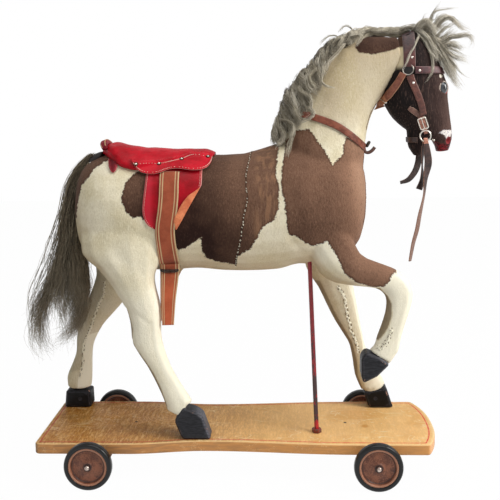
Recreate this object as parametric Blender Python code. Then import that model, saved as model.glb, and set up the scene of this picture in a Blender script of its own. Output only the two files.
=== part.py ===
# Toy horse on wheels: a hide-covered horse with a red saddle, a bridle and a girth,
# standing on a waisted wooden deck that rolls on four disc wheels.
# Metres, +Z up. +X is the way the horse faces, -Y is its near side.
# The origin lies on the floor, under the middle of the whole object.

import math

import bmesh
import bpy
from mathutils import Matrix, Vector
from mathutils.bvhtree import BVHTree

for existing in list(bpy.data.objects):
    bpy.data.objects.remove(existing, do_unlink=True)

mm = 0.001
clearance = 0.3 * mm

# Wheels and axles
wheel_radius = 38 * mm
tyre_depth = 6.5 * mm
tyre_width = 14 * mm
wheelbase = 453 * mm
wheel_gap = 16 * mm
disc_width = 10 * mm
disc_web = 4 * mm
rim_height = 4 * mm
hub_radius = 6.5 * mm
hub_width = 11 * mm
axle_radius = 3.2 * mm
axle_drop = 9.4 * mm
axle_play = 0.5 * mm
cap_radius = 5.2 * mm
cap_height = 4.2 * mm
block_length = 50 * mm
block_inset = 14 * mm
block_cover = 5 * mm

# Deck
deck_width = 180 * mm
deck_thickness = 16 * mm
deck_rear_overhang = 87 * mm
deck_front_overhang = 82 * mm
deck_bow = 18 * mm
deck_corner = 8 * mm
deck_edge = 3 * mm
waist_depth = 12 * mm
waist_middle = -45 * mm
waist_rear = 125 * mm
waist_front = 240 * mm
middle_x = -11.5 * mm

# Support rod, from the belly to the deck
rod_radius = 3.6 * mm
rod_foot = Vector((135, -42, 0)) * mm
rod_head = Vector((125, -18, 300)) * mm
rod_depth = 9.6 * mm
nut_width = 14 * mm
nut_height = 6 * mm

# Leather, webbing and metal of the tack
leather = 1.8 * mm
webbing = 1.4 * mm
skirt_leather = 2.0 * mm
flap_leather = 1.5 * mm
strap_gap = 0.45 * mm
skirt_gap = 0.8 * mm
seat_gap = 0.8 * mm
girth_width = 31 * mm
girth_x = -95 * mm
collar_width = 9 * mm
bridle_width = 10 * mm
crown_width = 17 * mm
brow_width = 11 * mm
chin_width = 8 * mm
ring_wire = 1.2 * mm
temple_ring_radius = 8.6 * mm
bit_ring_radius = 7.8 * mm
bit_radius = 1.5 * mm
loop_wire = 1.1 * mm
loop_bar = 1.7 * mm
loop_height = 6 * mm
loop_spare = 3.5 * mm
loop_drop = 6 * mm
buckle_length = 19 * mm
buckle_bar = 1.6 * mm
buckle_spare = 3 * mm
bit_overhang = 3 * mm
bit_drop = 6 * mm
eye_radius = 8.5 * mm
hoof_width = 31 * mm
hoof_chamfer = 3 * mm

# The horse's middle plane lies a little to the far side of the deck's
horse_y = 5 * mm

deck_underside = wheel_radius + axle_drop
deck_top = deck_underside + deck_thickness
wheel_y = deck_width / 2 + wheel_gap + tyre_width / 2
axle_end = wheel_y + hub_width / 2 + axle_play

wheel_sides = 24
limb_steps = 2
trunk_power = 0.92

# Rays that look for a surface start this far outside it
ray_start = 400 * mm


def material(name, colour, roughness, metallic=0.0):
    made = bpy.data.materials.new(name)
    made.use_nodes = True
    shader = made.node_tree.nodes["Principled BSDF"]
    shader.inputs["Base Color"].default_value = (*colour, 1.0)
    shader.inputs["Roughness"].default_value = roughness
    shader.inputs["Metallic"].default_value = metallic
    return made


looks = {
    "deck": ((0.48, 0.27, 0.10), 0.45, 0.0),
    "block": ((0.36, 0.20, 0.08), 0.6, 0.0),
    "steel": ((0.42, 0.40, 0.38), 0.4, 1.0),
    "disc": ((0.25, 0.10, 0.06), 0.5, 0.4),
    "tyre": ((0.02, 0.02, 0.02), 0.6, 0.0),
    "rod": ((0.35, 0.03, 0.03), 0.45, 0.3),
    "hide": ((0.72, 0.66, 0.50), 0.8, 0.0),
    "dark_hide": ((0.06, 0.04, 0.035), 0.8, 0.0),
    "hoof": ((0.015, 0.015, 0.015), 0.4, 0.0),
    "eye": ((0.03, 0.02, 0.015), 0.1, 0.0),
    "hair": ((0.30, 0.28, 0.20), 0.8, 0.0),
    "tail_hair": ((0.14, 0.12, 0.09), 0.8, 0.0),
    "saddle": ((0.55, 0.01, 0.02), 0.45, 0.0),
    "webbing": ((0.42, 0.14, 0.07), 0.85, 0.0),
    "strap": ((0.20, 0.07, 0.04), 0.55, 0.0),
}


def add_object(name, mesh, look, parent=None, at=(0, 0, 0)):
    made = bpy.data.objects.new(name, mesh)
    mesh.materials.append(material(name, *looks[look]))
    made.parent = parent
    made.location = at
    bpy.context.scene.collection.objects.link(made)
    return made


def add_empty(name, at, parent=None):
    made = bpy.data.objects.new(name, None)
    made.location = at
    made.parent = parent
    bpy.context.scene.collection.objects.link(made)
    return made


def closed_mesh(name, points, faces, smooth=True):
    mesh = bpy.data.meshes.new(name)
    mesh.from_pydata([tuple(point) for point in points], [], faces)
    shape = bmesh.new()
    shape.from_mesh(mesh)
    bmesh.ops.recalc_face_normals(shape, faces=shape.faces)
    shape.to_mesh(mesh)
    shape.free()
    if smooth:
        mesh.shade_smooth()
        mesh.set_sharp_from_angle(angle=math.radians(40))
    return mesh


# A skin through rings of equal length, with flat ends or closed on itself
def skin(name, rings, joined=False, smooth=True):
    count = len(rings[0])
    points = [point for ring in rings for point in ring]
    faces = []
    spans = len(rings) if joined else len(rings) - 1
    for i in range(spans):
        low = i * count
        high = (i + 1) % len(rings) * count
        for j in range(count):
            k = (j + 1) % count
            faces.append((low + j, low + k, high + k, high + j))
    if not joined:
        faces.append(tuple(range(count)))
        faces.append(tuple(range(len(points) - count, len(points))))
    return closed_mesh(name, points, faces, smooth)


# The points and faces of a surface through rings, open at its ends
def open_skin(rings):
    count = len(rings[0])
    points = [point for ring in rings for point in ring]
    faces = [
        (i * count + j, i * count + (j + 1) % count, (i + 1) * count + (j + 1) % count, (i + 1) * count + j)
        for i in range(len(rings) - 1) for j in range(count)
    ]
    return points, faces


# A profile of (radius, distance along the axis) turned about Y; its flats touch the radius
def turned(name, profile, sides=wheel_sides):
    reach = 1 / math.cos(math.pi / sides)
    rings = []
    for i in range(sides):
        angle = 2 * math.pi * (i + 0.5) / sides
        rings.append([
            Vector((r * reach * math.sin(angle), y, -r * reach * math.cos(angle)))
            for r, y in profile
        ])
    return skin(name, rings, joined=True)


# A solid turned profile that starts and ends on the axis
def turned_solid(name, profile, sides):
    points = [Vector((0, profile[0][1], 0)), Vector((0, profile[-1][1], 0))]
    inner = profile[1:-1]
    for i in range(sides):
        angle = 2 * math.pi * i / sides
        for r, y in inner:
            points.append(Vector((r * math.sin(angle), y, -r * math.cos(angle))))
    faces = []
    count = len(inner)
    for i in range(sides):
        here = 2 + i * count
        there = 2 + (i + 1) % sides * count
        faces.append((0, here, there))
        faces.append((1, there + count - 1, here + count - 1))
        for j in range(count - 1):
            faces.append((here + j, here + j + 1, there + j + 1, there + j))
    return closed_mesh(name, points, faces)


# A smooth curve through rows of numbers: cubic spans whose slopes follow the neighbours
def smooth_rows(rows, steps):
    rows = [list(row) for row in rows]
    out = []
    last = len(rows) - 1
    for i in range(last):
        before = rows[max(i - 1, 0)]
        here, there = rows[i], rows[i + 1]
        after = rows[min(i + 2, last)]
        for step in range(steps):
            t = step / steps
            out.append([
                0.5 * (2 * b + (c - a) * t + (2 * a - 5 * b + 4 * c - d) * t * t
                       + (3 * b - a - 3 * c + d) * t ** 3)
                for a, b, c, d in zip(before, here, there, after)
            ])
    out.append(rows[last])
    return out


# The value at x of a table whose first column is x, straight between its rows
def table_at(table, x):
    if x <= table[0][0]:
        return list(table[0][1:])
    for low, high in zip(table, table[1:]):
        if x <= high[0]:
            t = (x - low[0]) / (high[0] - low[0])
            return [a + (b - a) * t for a, b in zip(low[1:], high[1:])]
    return list(table[-1][1:])


def rounded(value, power):
    return math.copysign(abs(value) ** power, value)


# A limb or body through stations of (front x, front z, back x, back z, middle y, half width)
def limb_rings(stations, steps, sides, power=0.9):
    rings = []
    for ax, az, bx, bz, y, half in smooth_rows(stations, steps):
        centre = Vector(((ax + bx) / 2, y, (az + bz) / 2)) * mm
        across = Vector(((ax - bx) / 2, 0, (az - bz) / 2)) * mm
        wide = Vector((0, half, 0)) * mm
        rings.append([
            centre
            + across * rounded(math.cos(2 * math.pi * i / sides), power)
            + wide * rounded(math.sin(2 * math.pi * i / sides), power)
            for i in range(sides)
        ])
    return rings


def limb(name, stations, sides=14, look="hide", power=0.9):
    mesh = skin(name, limb_rings(stations, limb_steps, sides, power))
    return add_object(name, mesh, look, horse)


# A copy of a piece swollen by a gap, kept only as a cutter
def swollen(piece, gap=clearance, corner=1.3):
    bpy.context.view_layer.update()
    shape = bmesh.new()
    shape.from_object(piece, bpy.context.evaluated_depsgraph_get())
    shape.normal_update()
    moved = [vertex.co + vertex.normal * gap * corner for vertex in shape.verts]
    for vertex, place in zip(shape.verts, moved):
        vertex.co = place
    mesh = bpy.data.meshes.new(piece.name + "_room")
    shape.to_mesh(mesh)
    shape.free()
    cutter = bpy.data.objects.new(piece.name + "_room", mesh)
    cutter.parent = piece.parent
    cutter.location = piece.location
    cutter.hide_render = True
    cutter.display_type = "WIRE"
    bpy.context.scene.collection.objects.link(cutter)
    return cutter


def cut(piece, cutters):
    for cutter in cutters:
        step = piece.modifiers.new(cutter.name, "BOOLEAN")
        step.operation = "DIFFERENCE"
        step.object = cutter


def surface(*pieces):
    trees = []
    for piece in pieces:
        mesh = piece.data
        corners = [vertex.co.copy() for vertex in mesh.vertices]
        faces = [tuple(polygon.vertices) for polygon in mesh.polygons]
        trees.append(BVHTree.FromPolygons(corners, faces))
    return trees


# Where a ray that comes in from outside first meets one of the surfaces
def first_hit(trees, start, direction):
    best = None
    for tree in trees:
        place, normal, _, distance = tree.ray_cast(start, direction)
        if place is not None and (best is None or distance < best[2]):
            best = (place, normal, distance)
    return best


# A flat strip from lists of inner and outer rows, one point per column in each row
def strip(name, inner, outer, look, parent, joined=False):
    rings = [low + list(reversed(high)) for low, high in zip(inner, outer)]
    return add_object(name, skin(name, rings, joined, smooth=False), look, parent)


# A strap round a body, in the plane through centre that axis is square to.
# It is taut: where the body falls in, the strap runs straight across. Between two of its
# corners it is lifted until it clears the highest of the finer rays there.
def wrapped(name, trees, centre, axis, start, sweep, width, thickness, look, count=24, columns=2):
    axis = axis.normalized()
    start = (start - axis * start.dot(axis)).normalized()
    side = axis.cross(start)
    joined = sweep >= 2 * math.pi
    corners = count if joined else count + 1
    step = sweep / count
    fine = 4

    def ray_at(place):
        return start * math.cos(step * place) + side * math.sin(step * place)

    def reach_at(place, shift):
        best = 0
        for lean in (-0.2, 0, 0.2):
            middle = centre + axis * width * (shift + lean / (columns - 1))
            hit = first_hit(trees, middle + ray_at(place) * ray_start, -ray_at(place))
            if hit:
                best = max(best, (hit[0] - middle).dot(ray_at(place)))
        return best

    def beside(i, by):
        return (i + by) % count if joined else min(max(i + by, 0), count)

    def chord(back, ahead, share, span):
        bottom = back * math.sin(span * share) + ahead * math.sin(span * (1 - share))
        return back * ahead * math.sin(span) / bottom

    inner = [[] for _ in range(corners)]
    outer = [[] for _ in range(corners)]
    for column in range(columns):
        shift = column / (columns - 1) - 0.5
        reach = [reach_at(i, shift) for i in range(corners)]
        for _ in range(200):
            for i in range(0 if joined else 1, count):
                straight = chord(reach[beside(i, -1)], reach[beside(i, 1)], 0.5, 2 * step)
                reach[i] = max(reach[i], straight)
        lift = []
        for i in range(count):
            ends = reach[i], reach[beside(i, 1)]
            lift.append(max(
                reach_at(i + k / fine, shift) / chord(*ends, k / fine, step)
                for k in range(fine)
            ))
        for i in range(corners):
            ray = ray_at(i)
            lean = math.hypot(1, (reach[beside(i, 1)] - reach[beside(i, -1)]) / (2 * step * reach[i]))
            own = lift[i % count] if joined else lift[min(i, count - 1)]
            raised = reach[i] * max(own, lift[beside(i, -1)], 1)
            place = centre + axis * width * shift
            inner[i].append(place + ray * (raised + strap_gap * lean))
            outer[i].append(place + ray * (raised + (strap_gap + thickness) * lean))
    return strip(name, inner, outer, look, horse, joined)


# A strap that lies on one side of a body, through (x, z) points; side is -1 for the near side
def side_strap(name, trees, route, width, thickness, side, look, steps=4):
    points = smooth_rows(route, steps)
    inner, outer = [], []
    for i, (x, z) in enumerate(points):
        bx, bz = points[max(i - 1, 0)]
        ax, az = points[min(i + 1, len(points) - 1)]
        along = Vector((ax - bx, 0, az - bz)).normalized()
        square = Vector((-along.z, 0, along.x))
        low, high = [], []
        for half in (-0.5, 0.5):
            place = Vector((x, 0, z)) * mm + square * width * half
            place.y = side * ray_start
            hit, normal, _ = first_hit(trees, place, Vector((0, -side, 0)))
            lean = min(1 / max(abs(normal.y), 0.3), 2.5)
            low.append(hit + Vector((0, side * strap_gap * lean, 0)))
            high.append(hit + Vector((0, side * (strap_gap + thickness) * lean, 0)))
        inner.append(low)
        outer.append(high)
    return strip(name, inner, outer, look, horse)


# A free strap through rows of (x, y, z, twist in degrees, width), in millimetres
def ribbon(name, route, thickness, look, steps=3):
    rows = smooth_rows(route, steps)
    inner, outer = [], []
    for i, (x, y, z, twist, width) in enumerate(rows):
        back = Vector(rows[max(i - 1, 0)][:3])
        ahead = Vector(rows[min(i + 1, len(rows) - 1)][:3])
        along = (ahead - back).normalized()
        turn = math.radians(twist)
        across = Vector((math.cos(turn), math.sin(turn), 0))
        across = (across - along * across.dot(along)).normalized() * width * mm / 2
        out = along.cross(across).normalized() * thickness / 2
        place = Vector((x, y, z)) * mm
        inner.append([place - across - out, place + across - out])
        outer.append([place - across + out, place + across + out])
    return strip(name, inner, outer, look, horse)


# A wire ring that lies square to its normal
def wire_ring(name, centre, normal, radius, wire, look, count=20, sides=5):
    normal = normal.normalized()
    u = Vector((1, 0, 0)) - normal * normal.x
    u.normalize()
    v = normal.cross(u)
    rings = []
    for i in range(count):
        angle = 2 * math.pi * i / count
        out = u * math.cos(angle) + v * math.sin(angle)
        rings.append([
            centre + out * (radius + wire * math.cos(2 * math.pi * j / sides))
            + normal * wire * math.sin(2 * math.pi * j / sides)
            for j in range(sides)
        ])
    return add_object(name, skin(name, rings, joined=True), look, horse)


# A flat frame with a rectangular window, such as a buckle, that lies square to its normal
def frame(name, centre, normal, up, width, height, bar, thickness, look):
    normal = normal.normalized()
    up = (up - normal * up.dot(normal)).normalized()
    across = up.cross(normal)
    rings = []
    for sx, sz in ((-1, -1), (1, -1), (1, 1), (-1, 1)):
        corner = across * sx * width / 2 + up * sz * height / 2
        inset = across * sx * (width / 2 - bar) + up * sz * (height / 2 - bar)
        rings.append([
            centre + corner - normal * thickness / 2,
            centre + corner + normal * thickness / 2,
            centre + inset + normal * thickness / 2,
            centre + inset - normal * thickness / 2,
        ])
    return add_object(name, skin(name, rings, joined=True, smooth=False), look, horse)


root = add_empty("stand_middle", (middle_x, 0, 0))
horse = add_empty("horse_stand", (middle_x, 0, deck_top))


def cylinder(name, foot, head, radius, sides):
    along = (head - foot).normalized()
    u = along.orthogonal().normalized()
    v = along.cross(u)
    rings = [
        [
            end + (u * math.cos(2 * math.pi * i / sides) + v * math.sin(2 * math.pi * i / sides)) * radius
            for i in range(sides)
        ]
        for end in (foot, head)
    ]
    return skin(name, rings)


def hidden_cutter(name, mesh, parent):
    cutter = bpy.data.objects.new(name, mesh)
    cutter.parent = parent
    cutter.hide_render = True
    cutter.display_type = "WIRE"
    bpy.context.scene.collection.objects.link(cutter)
    return cutter


# Half the deck's width at x, narrower at the waist
def deck_half(x):
    reach = waist_rear if x < waist_middle else waist_front
    share = min(abs(x - waist_middle) / reach, 1)
    return deck_width / 2 - waist_depth * math.cos(share * math.pi / 2) ** 2


def make_deck():
    rear = -wheelbase / 2 - deck_rear_overhang
    front = wheelbase / 2 + deck_front_overhang
    half = deck_width / 2
    edge = []
    samples = 20
    for i in range(samples + 1):
        x = rear + deck_corner + (front - rear - deck_corner) * i / samples
        edge.append((x, deck_half(x)))
    outline = []
    corner = [
        (rear + deck_corner - deck_corner * math.sin(math.pi / 2 * i / 4),
         half - deck_corner + deck_corner * math.cos(math.pi / 2 * i / 4))
        for i in range(1, 5)
    ]
    outline += [(x, -y) for x, y in reversed(corner)]
    outline += [(x, -y) for x, y in edge]
    bow_steps = 8
    for i in range(1, bow_steps):
        y = -half + 2 * half * i / bow_steps
        outline.append((front + deck_bow * (1 - (y / half) ** 2), y))
    outline += [(x, y) for x, y in reversed(edge)]
    outline += corner
    rings = [
        [Vector((x, y, z)) for x, y in outline]
        for z in (deck_underside, deck_top)
    ]
    deck = add_object("deck", skin("deck", rings), "deck", root)
    edge_round = deck.modifiers.new("edge", "BEVEL")
    edge_round.width = deck_edge
    edge_round.segments = 1
    edge_round.limit_method = "ANGLE"
    edge_round.angle_limit = math.radians(50)
    return deck


def make_wheels():
    rim = wheel_radius - tyre_depth
    bore = axle_radius + clearance
    for end, place in (("rear", -wheelbase / 2), ("front", wheelbase / 2)):
        block_half = deck_width / 2 - block_inset
        low = wheel_radius - axle_radius - block_cover
        high = deck_underside - clearance
        corners = [(-1, low), (1, low), (1, high), (-1, high)]
        rings = [
            [Vector((place + along * block_length / 2, y, z)) for along, z in corners]
            for y in (-block_half, block_half)
        ]
        block_mesh = skin(end + "_axle_block", rings, smooth=False)
        block = add_object(end + "_axle_block", block_mesh, "block", root)
        channel = cylinder(
            end + "_axle_channel",
            Vector((place, -block_half - block_inset, wheel_radius)),
            Vector((place, block_half + block_inset, wheel_radius)),
            bore, 20,
        )
        cut(block, [hidden_cutter(end + "_axle_channel", channel, root)])
        axle = cylinder(end + "_axle", Vector((0, -axle_end, 0)), Vector((0, axle_end, 0)), axle_radius, 20)
        add_object(end + "_axle", axle, "steel", root, (place, 0, wheel_radius))
        for side, sign in (("near", -1), ("far", 1)):
            name = side + "_" + end
            centre = add_empty(name + "_wheel", (place, sign * wheel_y, wheel_radius), root)
            disc = turned(name + "_disc", [
                (bore, -hub_width / 2),
                (hub_radius, -hub_width / 2),
                (hub_radius, -disc_web / 2),
                (rim - rim_height, -disc_web / 2),
                (rim - rim_height, -disc_width / 2),
                (rim, -disc_width / 2),
                (rim, disc_width / 2),
                (rim - rim_height, disc_width / 2),
                (rim - rim_height, disc_web / 2),
                (hub_radius, disc_web / 2),
                (hub_radius, hub_width / 2),
                (bore, hub_width / 2),
            ])
            add_object(name + "_disc", disc, "disc", centre)
            half = tyre_width / 2
            tyre = turned(name + "_tyre", [
                (rim + clearance, -half),
                (wheel_radius - tyre_depth * 0.45, -half),
                (wheel_radius - tyre_depth * 0.12, -half * 0.8),
                (wheel_radius, -half * 0.45),
                (wheel_radius, half * 0.45),
                (wheel_radius - tyre_depth * 0.12, half * 0.8),
                (wheel_radius - tyre_depth * 0.45, half),
                (rim + clearance, half),
            ])
            add_object(name + "_tyre", tyre, "tyre", centre)
            cap = turned_solid(name + "_cap", [
                (0, sign * (axle_end + clearance)),
                (cap_radius, sign * (axle_end + clearance)),
                (cap_radius * 0.9, sign * (axle_end + cap_height * 0.55)),
                (cap_radius * 0.5, sign * (axle_end + cap_height * 0.92)),
                (0, sign * (axle_end + cap_height)),
            ], 16)
            add_object(name + "_cap", cap, "steel", root, (place, 0, wheel_radius))


# The trunk: (x, top z, bottom z, half width), in millimetres above the deck
trunk = [
    (-258, 399, 342, 24),
    (-252, 424, 307, 45),
    (-240, 442, 287, 60),
    (-215, 455, 272, 71),
    (-180, 460, 265, 76),
    (-120, 458, 263, 75),
    (-50, 455, 263, 73),
    (20, 456, 262, 73),
    (75, 472, 264, 74),
    (120, 478, 270, 74),
    (160, 474, 279, 70),
    (190, 462, 290, 62),
    (208, 445, 312, 48),
    (217, 420, 347, 28),
]


trunk_rows = smooth_rows(trunk, limb_steps)


def make_trunk():
    stations = [(x, top, x, bottom, horse_y / mm, half) for x, top, bottom, half in trunk]
    return limb("torso", stations, sides=28, power=trunk_power)


neck_stations = [
    (85, 430, 185, 355, 5, 55),
    (84, 489, 213, 418, 5, 53),
    (104, 529, 218, 470, 5, 45),
    (132, 577, 225, 508, 5, 39),
    (172, 625, 239, 538, 5, 34),
    (222, 643, 258, 562, 5, 30),
    (268, 640, 276, 580, 5, 26),
]

head_stations = [
    (297, 650, 272, 640, 5, 15),
    (320, 632, 257, 606, 5, 26),
    (337, 600, 250, 572, 5, 30),
    (348, 571, 247, 543, 5, 32),
    (351, 546, 258, 519, 5, 30),
    (354, 522, 272, 503, 5, 27),
    (358, 496, 292, 489, 5, 23),
    (358, 478, 326, 478, 5, 20),
    (352, 463, 334, 461, 5, 15),
]

jaw_stations = [
    (321, 505, 285, 502, 5, 19),
    (320, 487, 287, 485, 5, 18),
    (319, 470, 294, 466, 5, 15),
    (316, 456, 303, 453, 5, 11),
]

near_hind_stations = [
    (-120, 400, -225, 400, -22, 30),
    (-106, 350, -245, 345, -32, 36),
    (-108, 310, -244, 300, -40, 35),
    (-113, 280, -222, 280, -44, 32),
    (-117, 256, -200, 256, -47, 28),
    (-115, 228, -182, 228, -50, 24),
    (-115, 200, -169, 205, -52, 20),
    (-116, 172, -164, 180, -54, 17),
    (-112, 148, -161, 153, -55, 15.5),
    (-101, 114, -139, 118, -56, 14),
    (-84, 84, -124, 88, -57, 13),
    (-68, 60, -113, 62, -58, 14),
    (-66, 50, -108, 44, -58, 13.5),
]

far_hind_stations = [
    (-110, 400, -225, 400, 32, 30),
    (-112, 345, -245, 345, 43, 36),
    (-122, 305, -250, 300, 50, 35),
    (-150, 268, -248, 272, 56, 31),
    (-172, 236, -246, 243, 60, 27),
    (-194, 202, -259, 208, 64, 22),
    (-222, 170, -273, 178, 67, 18),
    (-240, 150, -284, 148, 70, 16),
    (-256, 122, -288, 122, 72, 14.5),
    (-261, 100, -289, 99, 73, 13.5),
    (-260, 75, -298, 75, 74, 13.5),
    (-259, 56, -304, 58, 74, 14),
    (-261, 36, -300, 36, 74, 13.5),
]

near_fore_stations = [
    (150, 375, 120, 300, -25, 28),
    (185, 335, 140, 264, -36, 31),
    (205, 298, 166, 250, -45, 28),
    (230, 284, 200, 246, -50, 23),
    (257, 274, 228, 243, -52, 20),
    (277, 259, 242, 234, -53, 17.5),
    (287, 238, 246, 221, -54, 17),
    (284, 214, 244, 203, -55, 15.5),
    (275, 185, 238, 183, -55, 14),
    (269, 163, 231, 164, -55, 13),
    (264, 142, 226, 148, -55, 13),
    (252, 122, 213, 138, -55, 13.5),
    (244, 116, 211, 128, -55, 13),
]

far_fore_stations = [
    (195, 360, 120, 350, 32, 28),
    (200, 300, 118, 275, 42, 32),
    (203, 262, 128, 245, 50, 29),
    (204, 225, 143, 222, 56, 24),
    (210, 192, 158, 190, 60, 20),
    (216, 160, 172, 161, 64, 17),
    (222, 130, 190, 131, 68, 14.5),
    (226, 112, 200, 112, 70, 13),
    (237, 86, 206, 80, 72, 12.5),
    (250, 64, 209, 58, 74, 13.5),
    (259, 48, 216, 40, 74, 14),
    (256, 32, 222, 28, 74, 13.5),
]

girth_start = math.radians(40)

# Outlines of the hooves in (x, z), in millimetres above the deck
near_hind_hoof = [(-78, 57), (-66, 56), (-49, 37), (-36, 0), (-83, 0), (-95, 30), (-91, 38)]
far_hind_hoof = [(-303, 42), (-259, 42), (-258, 0), (-306, 0)]
near_fore_hoof = [(205, 132), (213, 142), (234, 134), (250, 122), (230, 102), (208, 91), (205, 104)]
far_fore_hoof = [(219, 36), (259, 46), (271, 0), (228, 0)]

mane_stations = [
    (72, 487, 92, 470, 5, 14),
    (73, 503, 108, 486, 3, 30),
    (86, 533, 122, 512, 2, 38),
    (100, 571, 146, 540, 1, 40),
    (133, 609, 168, 572, 0, 39),
    (173, 648, 196, 600, 0, 37),
    (225, 660, 226, 622, 1, 34),
    (255, 660, 250, 630, 3, 30),
    (272, 660, 271, 640, 4, 25),
]

forelock_stations = [
    (276, 667, 276, 657, 5, 11),
    (288, 671, 288, 657, 5, 15),
    (301, 676, 301, 643, 5, 20),
    (318, 682, 312, 630, 4, 24),
    (345, 678, 326, 618, 2, 28),
    (368, 655, 338, 602, 0, 28),
    (380, 620, 346, 590, -1, 25),
    (376, 585, 352, 575, -2, 18),
    (368, 562, 358, 562, -2, 8),
]

tail_stations = [
    (-241, 457, -226, 440, 5, 9),
    (-258, 444, -238, 424, 5, 13),
    (-273, 414, -254, 402, 4, 18),
    (-288, 372, -258, 364, 3, 24),
    (-306, 325, -257, 314, 2, 28),
    (-326, 277, -248, 260, 0, 30),
    (-348, 217, -248, 207, 0, 31),
    (-357, 175, -262, 168, 0, 29),
    (-354, 132, -286, 140, 0, 24),
    (-340, 106, -322, 110, 0, 12),
]


eye_place = Vector((337, 18, 559)) * mm

# The height above the deck, in millimetres, from which the girth's free end hangs
girth_hang = 281

# The girth's free end: (x, distance outwards, distance below its top, twist in degrees, width)
girth_end_route = [
    (-96, 0, 0, 0, 31),
    (-96.5, 0, 12, 0, 31),
    (-99, 5, 32, 12, 31),
    (-102, 10, 57, 22, 31),
    (-105, 10, 90, 42, 29),
]

# The reins hang free: (x, y, z, twist in degrees, width), in millimetres above the deck.
# The second number is how far the rein lies outside its bit ring's plane.
near_rein_route = [
    (303, -1, 396, 10, 11),
    (308, -1, 412, 40, 11),
    (308, -1.5, 435, 70, 9),
    (309, -3, 456, 45, 8),
    (311.5, -3, 470, 0, 6.5),
    (312.5, -2.4, 476.5, 0, 6.2),
    (312.5, 0, 478.4, 0, 6.2),
    (312.5, 2.4, 476.5, 0, 6.2),
    (313.5, 3.2, 470, 0, 7.5),
    (315, 5, 455, 0, 11),
    (316, 6, 438, 5, 12),
    (312, 6, 414, 45, 11),
    (310, 6, 388, 65, 10.5),
    (303, 7, 355, 50, 10.5),
    (299, 7, 332, 45, 10.5),
    (293, 7, 309, 50, 10.5),
    (288, 7, 280, 60, 10.5),
]
far_rein_route = [
    (311, -3.5, 456, 0, 8),
    (311.5, -3, 470, 0, 6.5),
    (312.5, -2.4, 476.5, 0, 6.2),
    (312.5, 0, 478.4, 0, 6.2),
    (312.5, 2.4, 476.5, 0, 6.2),
    (312.5, 3.2, 470, 0, 7.5),
    (312, 3, 451, 5, 11),
    (310, 1, 437, 10, 11),
    (304, -3, 422, 15, 10.5),
    (293, -6, 409, 15, 9),
    (279, -8, 404, 15, 6),
]


def make_hoof(name, outline, y):
    half = hoof_width / 2
    rings = [
        [Vector((x * mm, y * mm + side * half, z * mm + clearance)) for x, z in outline]
        for side in (-1, 1)
    ]
    hoof = add_object(name, skin(name, rings, smooth=False), "hoof", horse)
    facets = hoof.modifiers.new("facets", "BEVEL")
    facets.width = hoof_chamfer
    facets.segments = 1
    facets.limit_method = "ANGLE"
    facets.angle_limit = math.radians(30)
    return hoof


# Half of the saddle's spread over the back, as (x, angle from upright in degrees)
seat_edge = [
    (-213, 7), (-206, 13), (-192, 27), (-176, 38), (-163, 41), (-154, 36),
    (-114, 35), (-80, 25), (-37, 15), (-27, 9),
]
seat_height = [
    (-213, 12), (-206, 21), (-195, 22), (-168, 16), (-154, 13), (-127, 10.5),
    (-100, 9), (-46, 9.5), (-33, 8), (-27, 5),
]
skirt_top = [(-152, 36.6), (-114, 36), (-80, 26), (-37, 16), (-30, 14)]
skirt_foot = [
    (-152, 38), (-145, 43), (-129, 48), (-115, 48.5), (-98, 44.5), (-83, 42.5),
    (-57, 46), (-40, 43), (-30, 34),
]


# A point on the trunk's own surface, raised by a height: angle is from upright, to the far side
def on_trunk(x, angle, height):
    top, bottom, half = table_at(trunk_rows, x)
    middle = (top + bottom) / 2
    depth = (top - bottom) / 2
    lean = Vector((0, math.sin(angle) * depth, math.cos(angle) * half)).normalized()
    place = Vector((
        x,
        horse_y / mm + half * rounded(math.sin(angle), trunk_power),
        middle + depth * rounded(math.cos(angle), trunk_power),
    ))
    return place * mm + lean * height


def make_seat():
    rings = []
    columns = 10
    first, last = seat_edge[0][0], seat_edge[-1][0]
    count = 17
    for i in range(count + 1):
        x = first + (last - first) * i / count
        spread = math.radians(table_at(smooth_rows(seat_edge, 4), x)[0])
        height = table_at(smooth_rows(seat_height, 4), x)[0] * mm
        low, high = [], []
        for j in range(columns + 1):
            share = 2 * j / columns - 1
            angle = spread * share
            crown = (1 - share ** 4) ** 0.5
            edge = min(height, 6 * mm)
            low.append(on_trunk(x, angle, seat_gap))
            high.append(on_trunk(x, angle, seat_gap + edge * 0.55 + (height - edge * 0.55) * crown))
        rings.append(low + list(reversed(high)))
    return add_object("saddle_seat", skin("saddle_seat", rings), "saddle", horse)


def make_skirt(name, side):
    first, last = skirt_foot[0][0], skirt_foot[-1][0]
    count = 16
    columns = 4
    standoff = strap_gap + flap_leather + strap_gap + webbing + skirt_gap
    inner, outer = [], []
    for i in range(count + 1):
        x = first + (last - first) * i / count
        top = math.radians(table_at(skirt_top, x)[0])
        foot = math.radians(table_at(smooth_rows(skirt_foot, 4), x)[0])
        low, high = [], []
        for j in range(columns + 1):
            angle = side * (top + (foot - top) * j / columns)
            low.append(on_trunk(x, angle, standoff))
            high.append(on_trunk(x, angle, standoff + skirt_leather))
        inner.append(low)
        outer.append(high)
    return strip(name, inner, outer, "saddle", horse)


# The flap hangs on the trunk's side: (share of its length, rear x, front x), angles from upright
flap_sides = [(0, -132, -42), (0.5, -136, -44), (0.8, -134, -58), (0.95, -126, -74), (1, -116, -86)]
flap_top_angle = math.radians(39)
flap_foot_angle = math.radians(99)


def make_flap(name, side):
    count = 12
    columns = 5
    inner, outer = [], []
    for i in range(count + 1):
        share = i / count
        rear, front = table_at(smooth_rows(flap_sides, 4), share)
        angle = side * (flap_top_angle + (flap_foot_angle - flap_top_angle) * share)
        low, high = [], []
        for j in range(columns + 1):
            x = rear + (front - rear) * j / columns
            low.append(on_trunk(x, angle, strap_gap))
            high.append(on_trunk(x, angle, strap_gap + flap_leather))
        inner.append(low)
        outer.append(high)
    return strip(name, inner, outer, "saddle", horse)


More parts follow.
